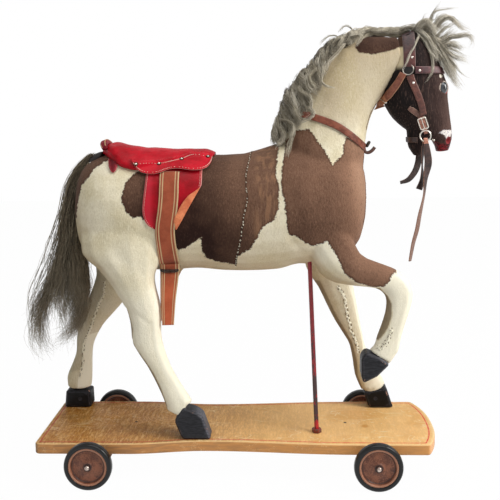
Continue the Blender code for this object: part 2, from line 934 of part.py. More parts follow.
make_wheels()
deck = make_deck()
torso = make_trunk()
neck = limb("neck", neck_stations, sides=20)
head = limb("head", head_stations, sides=18, look="dark_hide", power=0.86)
jaw = limb("lower_jaw", jaw_stations, sides=12, look="dark_hide")
near_hind = limb("near_hind_leg", near_hind_stations)
far_hind = limb("far_hind_leg", far_hind_stations)
near_fore = limb("near_fore_leg", near_fore_stations)
far_fore = limb("far_fore_leg", far_fore_stations)
hooves = {
    near_hind: make_hoof("near_hind_hoof", near_hind_hoof, -59),
    far_hind: make_hoof("far_hind_hoof", far_hind_hoof, 74),
    near_fore: make_hoof("near_fore_hoof", near_fore_hoof, -55),
    far_fore: make_hoof("far_fore_hoof", far_fore_hoof, 74),
}

# The tack is fitted to the whole head, neck and trunk, before they are cut to each other
head_skin = surface(head, neck)
jaw_skin = surface(head, jaw)
thigh_skin = [
    BVHTree.FromPolygons(*open_skin(limb_rings(stations[:4], limb_steps, 14)))
    for stations in (near_hind_stations, far_hind_stations)
]
near_flap = make_flap("near_flap", -1)
far_flap = make_flap("far_flap", 1)
make_seat()
make_skirt("near_skirt", -1)
make_skirt("far_skirt", 1)
girth = wrapped(
    "girth", surface(torso, near_flap, far_flap) + thigh_skin,
    Vector((girth_x, horse_y, 365 * mm)), Vector((1, 0, 0)),
    Vector((0, -math.sin(girth_start), math.cos(girth_start))),
    2 * math.pi - 2 * girth_start, girth_width, webbing, "webbing", count=36, columns=3,
)


def make_girth_end():
    height = girth_hang * mm + webbing
    outside = min(
        first_hit(surface(girth), Vector((girth_x + edge, -ray_start, height)), Vector((0, 1, 0)))[0].y
        for edge in (-0.48 * girth_width, 0, 0.48 * girth_width)
    )
    hang = (outside - strap_gap - webbing / 2) / mm
    rows = [
        (x, hang - away, girth_hang - below, twist, width)
        for x, away, below, twist, width in girth_end_route
    ]
    ribbon("girth_end", rows, webbing, "webbing")
    loop_place = Vector((
        girth_end_route[0][0] * mm,
        outside - 2 * strap_gap - webbing - loop_wire,
        girth_hang * mm - loop_drop,
    ))
    frame(
        "girth_loop", loop_place, Vector((0, -1, 0)), Vector((0, 0, 1)),
        girth_width + loop_spare, loop_height, loop_bar, 2 * loop_wire, "steel",
    )


make_girth_end()


# The collar goes round the neck's root, square to the neck
collar_axis = Vector((0.364, 0, 0.931))
collar_middle = Vector((162 * mm, horse_y, 495 * mm))
collar = wrapped(
    "collar_strap", surface(torso, neck), collar_middle, collar_axis, Vector((0, 1, 0)),
    2 * math.pi, collar_width, leather, "strap", count=32,
)


# Where the bit and temple rings lie, as (x, z) in millimetres above the deck
temple = (283, 588)
bit_ring = (312.5, 482.5)
cheek_route = [(286.5, 576.5), (291, 560), (298, 538), (304.5, 514.5)]
cheek_buckle = (308, 503)

# The middles that the crown strap, brow band, throat latch and chin strap go round
crown_middle = Vector((temple[0] * mm, horse_y, 602 * mm))
brow_middle = Vector((300 * mm, horse_y, 587 * mm))
throat_middle = Vector((262 * mm, horse_y, 562 * mm))
chin_middle = Vector((305 * mm, horse_y, 476 * mm))


def temple_ring(name, side):
    place = Vector((temple[0] * mm, side * ray_start, temple[1] * mm))
    hit, normal, _ = first_hit(head_skin, place, Vector((0, -side, 0)))
    centre = hit + normal * (ring_wire + clearance)
    return wire_ring(name, centre, normal, temple_ring_radius, ring_wire, "steel")


def bit_plane(side):
    reach = 0
    for i in range(16):
        angle = math.pi * i / 8
        place = Vector((
            bit_ring[0] * mm + bit_ring_radius * math.cos(angle), side * ray_start,
            bit_ring[1] * mm + bit_ring_radius * math.sin(angle),
        ))
        hit = first_hit(jaw_skin, place, Vector((0, -side, 0)))
        if hit:
            reach = max(reach, side * (hit[0].y - horse_y))
    return horse_y + side * (reach + ring_wire + clearance)


def make_bridle():
    for name, side in (("near", -1), ("far", 1)):
        temple_ring(name + "_temple_ring", side)
        ring_place = Vector((bit_ring[0] * mm, bit_plane(side), bit_ring[1] * mm))
        wire_ring(name + "_bit_ring", ring_place, Vector((0, side, 0)), bit_ring_radius, ring_wire, "steel")
        side_strap(name + "_cheek_strap", head_skin, cheek_route, bridle_width, leather, side, "strap")
        start = Vector((cheek_buckle[0] * mm, side * ray_start, cheek_buckle[1] * mm))
        hit, normal, _ = first_hit(head_skin, start, Vector((0, -side, 0)))
        along = Vector((4, 0, -12))
        frame(
            name + "_cheek_buckle", hit + normal * (strap_gap + leather / 2), normal, along,
            bridle_width + buckle_spare, buckle_length, buckle_bar, leather, "steel",
        )
    wrapped(
        "crown_strap", head_skin, crown_middle, Vector((-1, 0, 0)),
        Vector((0, -1, 0)), math.pi, crown_width, leather, "strap", count=20, columns=3,
    )
    brow_start = math.radians(11)
    brow = wrapped(
        "brow_band", head_skin, brow_middle, Vector((0, 0, 1)),
        Vector((-math.sin(brow_start), -math.cos(brow_start), 0)),
        math.pi + 2 * brow_start, brow_width, leather, "strap",
    )
    throat_start = math.radians(36)
    throat_down = Vector((-0.596, 0, -0.803))
    throat = wrapped(
        "throat_latch", surface(head), throat_middle, Vector((0.803, 0, -0.596)),
        Vector((0, -math.cos(throat_start), 0)) - throat_down * math.sin(throat_start),
        math.pi + 2 * throat_start, bridle_width, leather, "strap", count=24, columns=3,
    )
    chin_start = math.radians(12)
    wrapped(
        "chin_strap", jaw_skin, chin_middle, Vector((0, 0, -1)),
        Vector((-math.sin(chin_start), -math.cos(chin_start), 0)), math.pi - 2 * chin_start,
        chin_width, leather, "strap", count=16,
    )
    bit_x = bit_ring[0] * mm + bit_ring_radius + ring_wire + clearance + bit_radius
    bit_z = bit_ring[1] * mm - bit_drop
    bar = cylinder(
        "bit_bar",
        Vector((bit_x, bit_plane(-1) - bit_overhang, bit_z)),
        Vector((bit_x, bit_plane(1) + bit_overhang, bit_z)),
        bit_radius, 12,
    )
    add_object("bit_bar", bar, "steel", horse)
    return brow, throat


def make_rein(name, route, side):
    plane = bit_plane(side) / mm
    rows = [(x, plane + side * away, z, twist, width) for x, away, z, twist, width in route]
    ribbon(name, rows, leather, "strap")


brow, throat = make_bridle()
make_rein("near_rein", near_rein_route, -1)
make_rein("far_rein", far_rein_route, 1)

eyes = []
for name, side in (("near_eye", -1), ("far_eye", 1)):
    ball = bmesh.new()
    bmesh.ops.create_uvsphere(ball, u_segments=12, v_segments=8, radius=eye_radius)
    eye_mesh = bpy.data.meshes.new(name)
    ball.to_mesh(eye_mesh)
    ball.free()
    eye_mesh.shade_smooth()
    at = Vector((eye_place.x, horse_y + side * eye_place.y, eye_place.z))
    for vertex in eye_mesh.vertices:
        vertex.co += at
    eyes.append(add_object(name, eye_mesh, "eye", horse))

mane = limb("mane", mane_stations, look="hair")
forelock = limb("forelock", forelock_stations, sides=12, look="hair")
tail = limb("tail", tail_stations, look="tail_hair")

rod = add_object("support_rod", cylinder("support_rod", rod_foot, rod_head, rod_radius, 12), "rod", horse)
rod_way = (rod_head - rod_foot).normalized()
nut_low = Vector((rod_foot.x, rod_foot.y, clearance))
nut_high = nut_low + Vector((0, 0, nut_height))
nut = cylinder("rod_nut", nut_low, nut_high, nut_width / 2 / math.cos(math.pi / 6), 6)
nut = add_object("rod_nut", nut, "rod", horse)
rod.data.transform(Matrix.Translation(-rod_way * rod_depth))

# Room for each piece in the ones that it stands in or lies on
torso_room = swollen(torso)
neck_room = swollen(neck)
head_room = swollen(head)
collar_room = swollen(collar, corner=1.8)
brow_room = swollen(brow, corner=1.8)
throat_room = swollen(throat, corner=1.8)
rod_room = swollen(rod, corner=1.6)
hind_rooms = [swollen(near_hind), swollen(far_hind)]
eye_rooms = [swollen(eye, corner=1.1) for eye in eyes]
cut(neck, [torso_room, head_room, throat_room])
cut(jaw, [head_room])
for leg, hoof in hooves.items():
    cut(leg, [torso_room, swollen(hoof, corner=1.8)])
cut(head, eye_rooms)
cut(rod, [torso_room])
cut(deck, [rod_room])
cut(nut, [rod_room])
cut(mane, [neck_room, torso_room, head_room, collar_room])
cut(forelock, [head_room, brow_room])
cut(tail, [torso_room] + hind_rooms)
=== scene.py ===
import math

import bmesh
import bpy
import numpy as np
from mathutils import Matrix, Vector
from mathutils.bvhtree import BVHTree


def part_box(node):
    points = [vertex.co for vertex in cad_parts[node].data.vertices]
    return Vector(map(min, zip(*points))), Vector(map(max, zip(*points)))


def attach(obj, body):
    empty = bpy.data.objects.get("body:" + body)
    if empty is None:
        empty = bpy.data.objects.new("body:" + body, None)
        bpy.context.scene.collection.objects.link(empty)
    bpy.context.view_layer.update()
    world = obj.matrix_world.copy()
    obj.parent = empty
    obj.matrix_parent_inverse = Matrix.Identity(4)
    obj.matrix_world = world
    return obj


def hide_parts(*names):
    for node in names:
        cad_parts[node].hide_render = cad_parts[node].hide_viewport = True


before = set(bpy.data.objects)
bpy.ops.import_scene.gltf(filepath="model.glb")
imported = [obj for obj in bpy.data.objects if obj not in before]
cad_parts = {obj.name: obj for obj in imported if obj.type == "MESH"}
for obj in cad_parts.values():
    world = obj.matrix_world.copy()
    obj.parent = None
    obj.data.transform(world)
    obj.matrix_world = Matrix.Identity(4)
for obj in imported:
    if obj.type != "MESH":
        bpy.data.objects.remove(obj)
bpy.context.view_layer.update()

mm = 0.001
deckCentre = np.array((-11.5, 0.0, 63.4))  # the deck's top at the wheelbase's middle, in mm
horseMiddle = 5.0  # the horse's middle plane, in mm to the far side
near, far = -1, 1
bothSides = (("near", near), ("far", far))
fullTurn = 2 * math.pi

bpy.context.scene.view_settings.view_transform = "Standard"


# Array helpers

# mm in the horse's own frame to metres
def onDeck(points):
    return (np.asarray(points, float) + deckCentre) * mm


# vector / its length, along the last axis
def unit(vectors):
    vectors = np.asarray(vectors, float)
    return vectors / np.maximum(np.linalg.norm(vectors, axis=-1, keepdims=True), 1e-12)


# 0 below low, 1 above high, 3t^2 - 2t^3 between
def smoothStep(values, low, high):
    t = np.clip((np.asarray(values, float) - low) / (high - low), 0, 1)
    return t * t * (3 - 2 * t)


# exp(-((values - centre) / width)^2)
def bell(values, centre, width):
    return np.exp(-((values - centre) / width) ** 2)


# sign(v) * |v|^power
def rounded(values, power):
    return np.sign(values) * np.abs(values) ** power


# Angles of a whole turn, without its end
def turnOf(count):
    return np.linspace(0, fullTurn, count, False)


# Cubic spans through the rows of a table; each slope follows the two neighbours
def smoothRows(rows, steps):
    rows = np.asarray(rows, float)
    padded = np.concatenate((rows[:1], rows, rows[-1:]))
    a, b, c, d = padded[:-3], padded[1:-2], padded[2:-1], padded[3:]
    t = (np.arange(steps) / steps)[:, None, None]
    spans = 0.5 * (2 * b + (c - a) * t + (2 * a - 5 * b + 4 * c - d) * t ** 2
                   + (3 * b - a - 3 * c + d) * t ** 3)
    return np.concatenate((spans.transpose(1, 0, 2).reshape(-1, rows.shape[1]), rows[-1:]))


# The table's value at each x, straight between its rows
def tableAt(table, x):
    table = np.asarray(table, float)
    return np.stack([np.interp(x, table[:, 0], column) for column in table[:, 1:].T], axis=-1)


# The sum of a path's steps
def lengthOf(path):
    return float(np.linalg.norm(np.diff(path, axis=0), axis=1).sum())


# How far along a path each of its points lies
def runOf(path):
    return np.concatenate(([0], np.cumsum(np.linalg.norm(np.diff(path, axis=0), axis=1))))


# The same line with its points a constant length apart
def evenly(path, count):
    run = runOf(path)
    return tableAt(np.column_stack((run, path)), np.linspace(0, run[-1], count))


# Smoothed random numbers along an axis: repeated (before + 2 * here + after) / 4
def drift(random, shape, rounds=3, axis=0):
    values = random.normal(size=shape)
    for _ in range(rounds):
        values = (np.roll(values, 1, axis) + 2 * values + np.roll(values, -1, axis)) / 4
    return values / max(values.std(), 1e-9)


# Mesh helpers

# Quads that join neighbours on a grid of rows x columns, each way closed or open
def gridFaces(rows, columns, closedRows=False, closedColumns=False):
    i = np.arange(rows if closedRows else rows - 1)[:, None]
    j = np.arange(columns if closedColumns else columns - 1)[None, :]
    nextI, nextJ = (i + 1) % rows, (j + 1) % columns
    return np.stack(
        (i * columns + j, i * columns + nextJ, nextI * columns + nextJ, nextI * columns + j), axis=-1
    ).reshape(-1, 4)


# The quads of a tube of rows x columns, and triangles that fan its ends to two points after the others
def tubeFaces(rows, columns):
    j = np.arange(columns)
    k = (j + 1) % columns
    pole, last = np.full(columns, rows * columns), (rows - 1) * columns
    fans = np.stack((pole, k, j), -1), np.stack((pole + 1, last + j, last + k), -1)
    return gridFaces(rows, columns, False, True), np.concatenate(fans)


# A new object with its data, linked to the scene
def added(name, data):
    thing = bpy.data.objects.new(name, data)
    bpy.context.scene.collection.objects.link(thing)
    return thing


# Each named list becomes a number attribute on the mesh's points
def setValues(mesh, **values):
    for key, numbers in values.items():
        layer = mesh.attributes.new(key, "FLOAT", "POINT")
        layer.data.foreach_set("value", np.asarray(numbers, np.float32).ravel())


# An object from points (n, 3), quads and triangles, with (u, v) and named values for each point
def makePiece(name, points, quads=(), triangles=(), uv=None, values=None, turn=True):
    points = np.asarray(points, np.float32).reshape(-1, 3)
    quads = np.asarray(quads, np.int32).reshape(-1, 4)
    triangles = np.asarray(triangles, np.int32).reshape(-1, 3)
    mesh = bpy.data.meshes.new(name)
    mesh.vertices.add(len(points))
    mesh.vertices.foreach_set("co", points.ravel())
    corners = np.concatenate((quads.ravel(), triangles.ravel()))
    starts = np.concatenate((np.arange(len(quads)) * 4, quads.size + np.arange(len(triangles)) * 3))
    mesh.loops.add(len(corners))
    mesh.loops.foreach_set("vertex_index", corners)
    mesh.polygons.add(len(starts))
    mesh.polygons.foreach_set("loop_start", starts)
    mesh.update(calc_edges=True)
    if uv is not None:
        layer = mesh.uv_layers.new(name="UVMap")
        layer.data.foreach_set("uv", np.asarray(uv, np.float32).reshape(-1, 2)[corners].ravel())
    setValues(mesh, **(values or {}))
    mesh.shade_smooth()
    if turn:
        shape = bmesh.new()
        shape.from_mesh(mesh)
        bmesh.ops.recalc_face_normals(shape, faces=shape.faces)
        shape.to_mesh(mesh)
        shape.free()
    return added(name, mesh)


# A closed skin through a grid (rows, columns, 3): round its columns, its ends fanned to their middles
def skinPiece(name, grid, uv=None, values=None, looped=False):
    rows, columns = grid.shape[:2]
    points, values = grid.reshape(-1, 3), values or {}
    if looped:
        return makePiece(name, points, gridFaces(rows, columns, True, True), (), uv, values)
    capped = lambda flat: np.concatenate((flat, flat[:columns].mean(0)[None], flat[-columns:].mean(0)[None]))
    if uv is not None:
        uv = capped(np.asarray(uv, float).reshape(-1, 2))
    values = {key: capped(np.ravel(numbers)) for key, numbers in values.items()}
    return makePiece(name, capped(points), *tubeFaces(rows, columns), uv, values)


# A profile (k, 2) carried along a path: centre + across * profile x + up * profile y
def carried(centres, across, up, profile):
    profile = np.asarray(profile, float)
    return (centres[:, None, :] + across[:, None, :] * profile[..., 0, None]
            + up[:, None, :] * profile[..., 1, None])


# (cos, sin) round a whole turn
def circle(sides):
    angle = fullTurn * np.arange(sides) / sides
    return np.stack((np.cos(angle), np.sin(angle)), -1)


# A round wire or tube along a path, of a radius that may change along it
def wire(name, path, radius, sides=10, looped=False, guide=(0, 0, 1)):
    path = np.asarray(path, float)
    along = unit((np.roll(path, -1, 0) - np.roll(path, 1, 0)) if looped else np.gradient(path, axis=0))
    across = unit(np.cross(along, np.asarray(guide, float)))
    size = np.broadcast_to(np.asarray(radius, float), (len(path),))[:, None, None]
    return skinPiece(name, carried(path, across, np.cross(across, along), circle(sides)[None] * size),
                     looped=looped)


# A flat strap's section, as shares of its half width and half thickness
strapSection = np.array((
    (-1, -0.45), (-1, 0.45), (-0.95, 0.86), (-0.7, 1), (-0.35, 1.03), (0, 1.05), (0.35, 1.03), (0.7, 1),
    (0.95, 0.86), (1, 0.45), (1, -0.45), (0.95, -0.86), (0.7, -1), (0.35, -1), (0, -1), (-0.35, -1),
    (-0.7, -1), (-0.95, -0.86),
))


# A strap between two edge lines: middle + half * section x + up * thickness / 2 * section y
def strapPiece(name, left, right, up, thickness, looped=False):
    left, right, up = (np.asarray(line, float) for line in (left, right, up))
    middle, half = (left + right) / 2, (right - left) / 2
    depth = np.broadcast_to(np.asarray(thickness, float), (len(left),))[:, None] / 2
    grid = carried(middle, half, unit(up) * depth, strapSection[None])
    marks = np.stack(np.broadcast_arrays((strapSection[:, 0] + 1) / 2, runOf(middle)[:, None]), -1)
    return skinPiece(name, grid, marks, looped=looped)


# A free strap through rows of (x, y, z, twist, width) in mm; twist is its edge's angle from X
def ribbonLines(rows, steps):
    rows = smoothRows(rows, steps)
    path = onDeck(rows[:, :3])
    along = unit(np.gradient(path, axis=0))
    turn = np.radians(rows[:, 3])
    across = np.stack((np.cos(turn), np.sin(turn), 0 * turn), -1)
    across = unit(across - along * (across * along).sum(-1, keepdims=True))
    half = across * rows[:, 4, None] * mm / 2
    return path, path - half, path + half, np.cross(along, across)


# The same small shape put at many places: place + its axes * its points
def scattered(name, points, quads, triangles, places, axes):
    points, places, axes = np.asarray(points, float), np.asarray(places, float), np.asarray(axes, float)
    moved = places[:, None, :] + np.einsum("pk,nkc->npc", points, axes)
    shift = (np.arange(len(places)) * len(points))[:, None, None]
    return makePiece(name, moved, (quads[None] + shift).reshape(-1, 4),
                     (triangles[None] + shift).reshape(-1, 3))


# Rings of (radius, height) round Z, closed at their ends: the points, quads and triangles of a small shape
def ringShape(rows, sides):
    rows = np.asarray(rows, float)
    heights = np.broadcast_to(rows[:, 1:, None], (len(rows), sides, 1))
    grid = np.concatenate((circle(sides)[None] * rows[:, :1, None], heights), -1).reshape(-1, 3)
    return np.concatenate((grid, ((0, 0, rows[0, 1]), (0, 0, rows[-1, 1])))), *tubeFaces(len(rows), sides)


# A grain of thread: a closed six-sided spindle, 1 long in x, of radius 0.5
def spindle(sides=6, rings=(-0.42, -0.2, 0.2, 0.42)):
    rings = np.asarray(rings, float)
    size = np.sqrt(np.clip(1 - (2 * rings) ** 2, 0, 1)) * 0.5
    lengths = np.broadcast_to(rings[:, None, None], (len(rings), sides, 1))
    grid = np.concatenate((lengths, circle(sides)[None] * size[:, None, None]), -1).reshape(-1, 3)
    return np.concatenate((grid, ((-0.5, 0, 0), (0.5, 0, 0)))), *tubeFaces(len(rings), sides)


# Stitches along a line: each a spindle of the given length, lying on the surface
def stitches(name, path, up, pitch, length, radius, lift=0.0, slant=0.0):
    count = max(int(lengthOf(path) / pitch), 2)
    both = evenly(np.concatenate((path, unit(up)), 1), count)
    place, upward = both[:, :3], unit(both[:, 3:])
    along = unit(np.gradient(place, axis=0))
    side = unit(np.cross(upward, along))
    c, s = math.cos(slant), math.sin(slant)
    axes = np.stack(((along * c + side * s) * length, (side * c - along * s) * radius * 2,
                     upward * radius * 2), 1)
    return scattered(name, *spindle(), place + upward * lift, axes)


# Thin tapered hairs: paths (n, s, 3) and radii (n, s), each a closed tube of three sides
def hairs(name, paths, radii, guide, tones):
    (count, steps), sides = paths.shape[:2], 3
    along = unit(np.gradient(paths, axis=1))
    across = unit(np.cross(along, np.asarray(guide, float)) + 1e-6)
    up = np.cross(across, along)
    ring = circle(sides)
    grid = (paths[:, :, None, :]
            + across[:, :, None, :] * (ring[:, 0, None] * radii[:, :, None, None])
            + up[:, :, None, :] * (ring[:, 1, None] * radii[:, :, None, None]))
    shift = (np.arange(count) * steps * sides)[:, None, None]
    quads = (gridFaces(steps, sides, False, True)[None] + shift).reshape(-1, 4)
    ends = np.array((range(sides - 1, -1, -1), range((steps - 1) * sides, steps * sides)))
    values = {
        "tone": np.broadcast_to(tones[:, None, None], (count, steps, sides)),
        "along": np.broadcast_to(np.linspace(0, 1, steps)[None, :, None], (count, steps, sides)),
    }
    return makePiece(name, grid, quads, (ends[None] + shift).reshape(-1, sides), values=values, turn=False)


# A closed profile of (radius, distance along Y) turned about an axis through a centre
def turnedPiece(name, centre, profile, sides=96, looped=False, values=None):
    profile = np.asarray(profile, float)
    angle = fullTurn * np.arange(sides) / sides
    ring = np.stack((np.sin(angle), 0 * angle, -np.cos(angle)), -1)
    grid = profile[:, None, :1] * ring[None] + np.array((0, 1.0, 0)) * profile[:, None, 1:2]
    return skinPiece(name, grid + np.asarray(centre, float), looped=looped, values=values)


# Surfaces to lay pieces on

# A mesh's points, their normals and its edges as arrays
def meshArrays(mesh):
    points = np.empty(len(mesh.vertices) * 3, np.float32)
    mesh.vertices.foreach_get("co", points)
    normals = np.empty(len(mesh.vertices) * 3, np.float32)
    mesh.vertices.foreach_get("normal", normals)
    edges = np.empty(len(mesh.edges) * 2, np.int32)
    mesh.edges.foreach_get("vertices", edges)
    return points.reshape(-1, 3).astype(float), normals.reshape(-1, 3).astype(float), edges.reshape(-1, 2)


# The mesh's points take these places
def movePoints(mesh, points):
    mesh.vertices.foreach_set("co", points.astype(np.float32).ravel())
    mesh.update()


# A search tree for rays over each piece
def treeOf(*pieces):
    trees = []
    for piece in pieces:
        faces = [tuple(polygon.vertices) for polygon in piece.data.polygons]
        trees.append(BVHTree.FromPolygons(meshArrays(piece.data)[0].tolist(), faces))
    return trees


# A node's box as two corners
def cornersOf(name):
    return [np.array(corner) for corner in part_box(name)]


# Where rays first meet the surfaces, and the normals there; a miss gives nan
def castTo(trees, starts, ways):
    starts = np.asarray(starts, float).reshape(-1, 3)
    ways = np.broadcast_to(np.asarray(ways, float), starts.shape)
    places, normals = np.full(starts.shape, np.nan), np.full(starts.shape, np.nan)
    for i, (start, way) in enumerate(zip(starts, ways)):
        hits = [tree.ray_cast(Vector(start), Vector(way)) for tree in trees]
        hits = [hit for hit in hits if hit[0] is not None]
        if hits:
            best = min(hits, key=lambda hit: hit[3])
            places[i], normals[i] = best[0], best[1]
    return places, normals


# Gaps in a line of numbers are filled from their neighbours
def filled(values):
    values = np.array(values, float)
    places = np.arange(len(values))
    for column in values.T:
        known = ~np.isnan(column)
        column[:] = np.interp(places, places[known], column[known])
    return values


# The horse's own frame in mm: a ray along Y at (x, z) from one side onto the surfaces
def fromSide(trees, rows, side):
    rows = np.asarray(rows, float)
    starts = onDeck(np.stack((rows[:, 0], np.full(len(rows), side * 400.0), rows[:, 1]), -1))
    return [filled(part) for part in castTo(trees, starts, (0, -side, 0))]


# Shader maths

class Flow:
    # A socket of one material. Sums and products of flows and numbers add Math nodes.
    def __init__(self, tree, socket=None):
        self.tree, self.socket = tree, socket

    def node(self, kind, settings=None, sockets=None, output=0):
        made = self.tree.nodes.new("ShaderNode" + kind)
        for key, value in (settings or {}).items():
            setattr(made, key, value)
        for key, value in (sockets or {}).items():
            if isinstance(value, Flow):
                self.tree.links.new(value.socket, made.inputs[key])
            else:
                made.inputs[key].default_value = value
        return Flow(self.tree, made.outputs[output])

    def maths(self, operation, *values):
        return self.node("Math", {"operation": operation}, dict(enumerate(values)))

    def __add__(self, other):
        return self.maths("ADD", self, other)

    def __radd__(self, other):
        return self.maths("ADD", other, self)

    def __sub__(self, other):
        return self.maths("SUBTRACT", self, other)

    def __rsub__(self, other):
        return self.maths("SUBTRACT", other, self)

    def __mul__(self, other):
        return self.maths("MULTIPLY", self, other)

    def __truediv__(self, other):
        return self.maths("DIVIDE", self, other)

    def __pow__(self, other):
        return self.maths("POWER", self, other)

    def __abs__(self):
        return self.maths("ABSOLUTE", self)


# sRGB hex to the linear colour that Blender takes
def tint(code):
    parts = np.array([int(code[i:i + 2], 16) for i in (0, 2, 4)]) / 255
    return (*np.where(parts <= 0.04045, parts / 12.92, ((parts + 0.055) / 1.055) ** 2.4).tolist(), 1)


# A colour between two, at the factor's share; each is a flow or a hex code
def blended(first, second, factor):
    pair = {0: factor, **{k: tint(c) if isinstance(c, str) else c for k, c in ((6, first), (7, second))}}
    return (factor if isinstance(factor, Flow) else first).node("Mix", {"data_type": "RGBA"}, pair, 2)


# Colours laid over the first one in turn, as (colour, share)
def layered(colour, *layers):
    for over, share in layers:
        colour = blended(colour, over, share)
    return colour


# 0 below low, 1 above high
def ramp(value, low, high):
    return value.node("MapRange", {"interpolation_type": "SMOOTHSTEP"},
                      {0: value, 1: low, 2: high, 3: 0.0, 4: 1.0})


# A number attribute of the mesh, read in the shader
def readOut(flow, name):
    return flow.node("Attribute", {"attribute_name": name}, output="Fac")


# One coordinate (0, 1 or 2) of the object, of its UV map, or of the surface's normal
def coordinate(flow, axis, source="Object"):
    kind = "NewGeometry" if source == "Normal" else "TexCoord"
    return flow.node("SeparateXYZ", {}, {0: flow.node(kind, output=source)}, axis)


# Noise in metres: its coordinates are stretched by the scale along each axis
def grain(flow, size, detail=3.0, stretch=(1, 1, 1), turn=(0, 0, 0), rough=0.55):
    place = flow.node("TexCoord", output="Object")
    scale = tuple(1 / (size * part) for part in stretch)
    place = flow.node("Mapping", {}, {"Vector": place, "Rotation": turn, "Scale": scale})
    return flow.node("TexNoise", {}, {"Vector": place, "Scale": 1.0, "Detail": detail, "Roughness": rough})


class Finish:
    # A new principled material; set() fills its shader's sockets
    names = {
        "colour": "Base Color", "rough": "Roughness", "metal": "Metallic", "normal": "Normal",
        "coat": "Coat Weight",
        "coatRough": "Coat Roughness", "sheen": "Sheen Weight", "sheenRough": "Sheen Roughness",
        "sheenTint": "Sheen Tint", "ior": "IOR", "specular": "Specular IOR Level",
    }

    def __init__(self, name, **sockets):
        self.material = bpy.data.materials.new(name)
        self.material.use_nodes = True
        self.tree = self.material.node_tree
        self.shader = self.tree.nodes["Principled BSDF"]
        self.flow = Flow(self.tree)
        self.set(**sockets)

    def set(self, **sockets):
        for key, value in sockets.items():
            target = self.shader.inputs[self.names[key]]
            if isinstance(value, Flow):
                self.tree.links.new(value.socket, target)
            else:
                target.default_value = value
        return self

    # Height in metres moves the surface's shading only
    def relief(self, height, strength=1.0):
        bump = self.flow.node("Bump", {}, {"Strength": strength, "Distance": 1.0, "Height": height})
        return self.set(normal=bump)

    def on(self, *pieces):
        for piece in pieces:
            piece.data.materials.clear()
            piece.data.materials.append(self.material)


# Hands a piece to a body and the CAD nodes that it stands for; slot is not used
def placed(piece, slot, *nodes, body="stand", finish=None):
    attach(piece, body)
    if nodes:
        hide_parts(*nodes)
    if finish is not None:
        finish.on(piece)
    return piece


# Camera, fitted to the photograph's own picture plane
cameraFit = {
    "place": (0.062076, -1.224765, 0.580547), "yaw": 2.0886, "pitch": 5.266, "roll": -0.719,
    "lens": 53.607, "sensor": 36, "shiftUp": -0.13, "closest": 0.05, "furthest": 50,
}


# forward = (-sin yaw cos pitch, cos yaw cos pitch, -sin pitch), turned about itself by roll
def makeCamera(fit):
    yaw, pitch, roll = (math.radians(fit[key]) for key in ("yaw", "pitch", "roll"))
    forward = Vector((-math.sin(yaw) * math.cos(pitch), math.cos(yaw) * math.cos(pitch), -math.sin(pitch)))
    level = Vector((math.cos(yaw), math.sin(yaw), 0))
    upright = level.cross(forward)
    right = level * math.cos(roll) + upright * math.sin(roll)
    above = upright * math.cos(roll) - level * math.sin(roll)
    data = bpy.data.cameras.new("camera")
    data.lens, data.sensor_width, data.shift_y = fit["lens"], fit["sensor"], fit["shiftUp"]
    data.clip_start, data.clip_end = fit["closest"], fit["furthest"]
    camera = added("camera", data)
    turned = Matrix((right, above, -forward)).transposed().to_4x4()
    turned.translation = fit["place"]
    camera.matrix_world = turned
    bpy.context.scene.camera = camera


makeCamera(cameraFit)
print("camera set")

# Lamps: (name, place, aims at, size, watts, colour)
lamps = [
    ("windowLight", (2.0, -0.7, 1.6), (0.1, 0, 0.35), 1.2, 44, (1.0, 0.985, 0.955)),
    ("ceilingLight", (0.3, -0.55, 2.2), (0.05, 0, 0.4), 1.8, 20, (1.0, 1.0, 1.0)),
    ("sideLight", (-1.9, -1.4, 0.9), (-0.1, 0, 0.4), 1.5, 3, (0.97, 0.98, 1.0)),
]


# Disc lamps, each turned so that its -Z looks at its aim
def makeLamps(rows):
    for name, place, aim, size, watts, colour in rows:
        data = bpy.data.lights.new(name, "AREA")
        data.shape, data.size, data.energy, data.color = "DISK", size, watts, colour
        lamp = added(name, data)
        lamp.location = place
        lamp.rotation_mode = "QUATERNION"
        lamp.rotation_quaternion = (Vector(aim) - Vector(place)).to_track_quat("-Z", "Y")


# The room: light of roomLevel everywhere, plain white to the camera and to mirrors
stage = {
    "roomLevel": 0.24, "floorColour": (0.86, 0.86, 0.86, 1), "floorShade": (0.84, 0.84, 0.84, 1),
    "floorWhite": 0.985, "floorHalf": 4.0,
}


# 1 on rays from the camera, off mirrors and through glass
def raysOf(flow):
    return [flow.node("LightPath", output="Is %s Ray" % kind)
            for kind in ("Camera", "Glossy", "Transmission")]


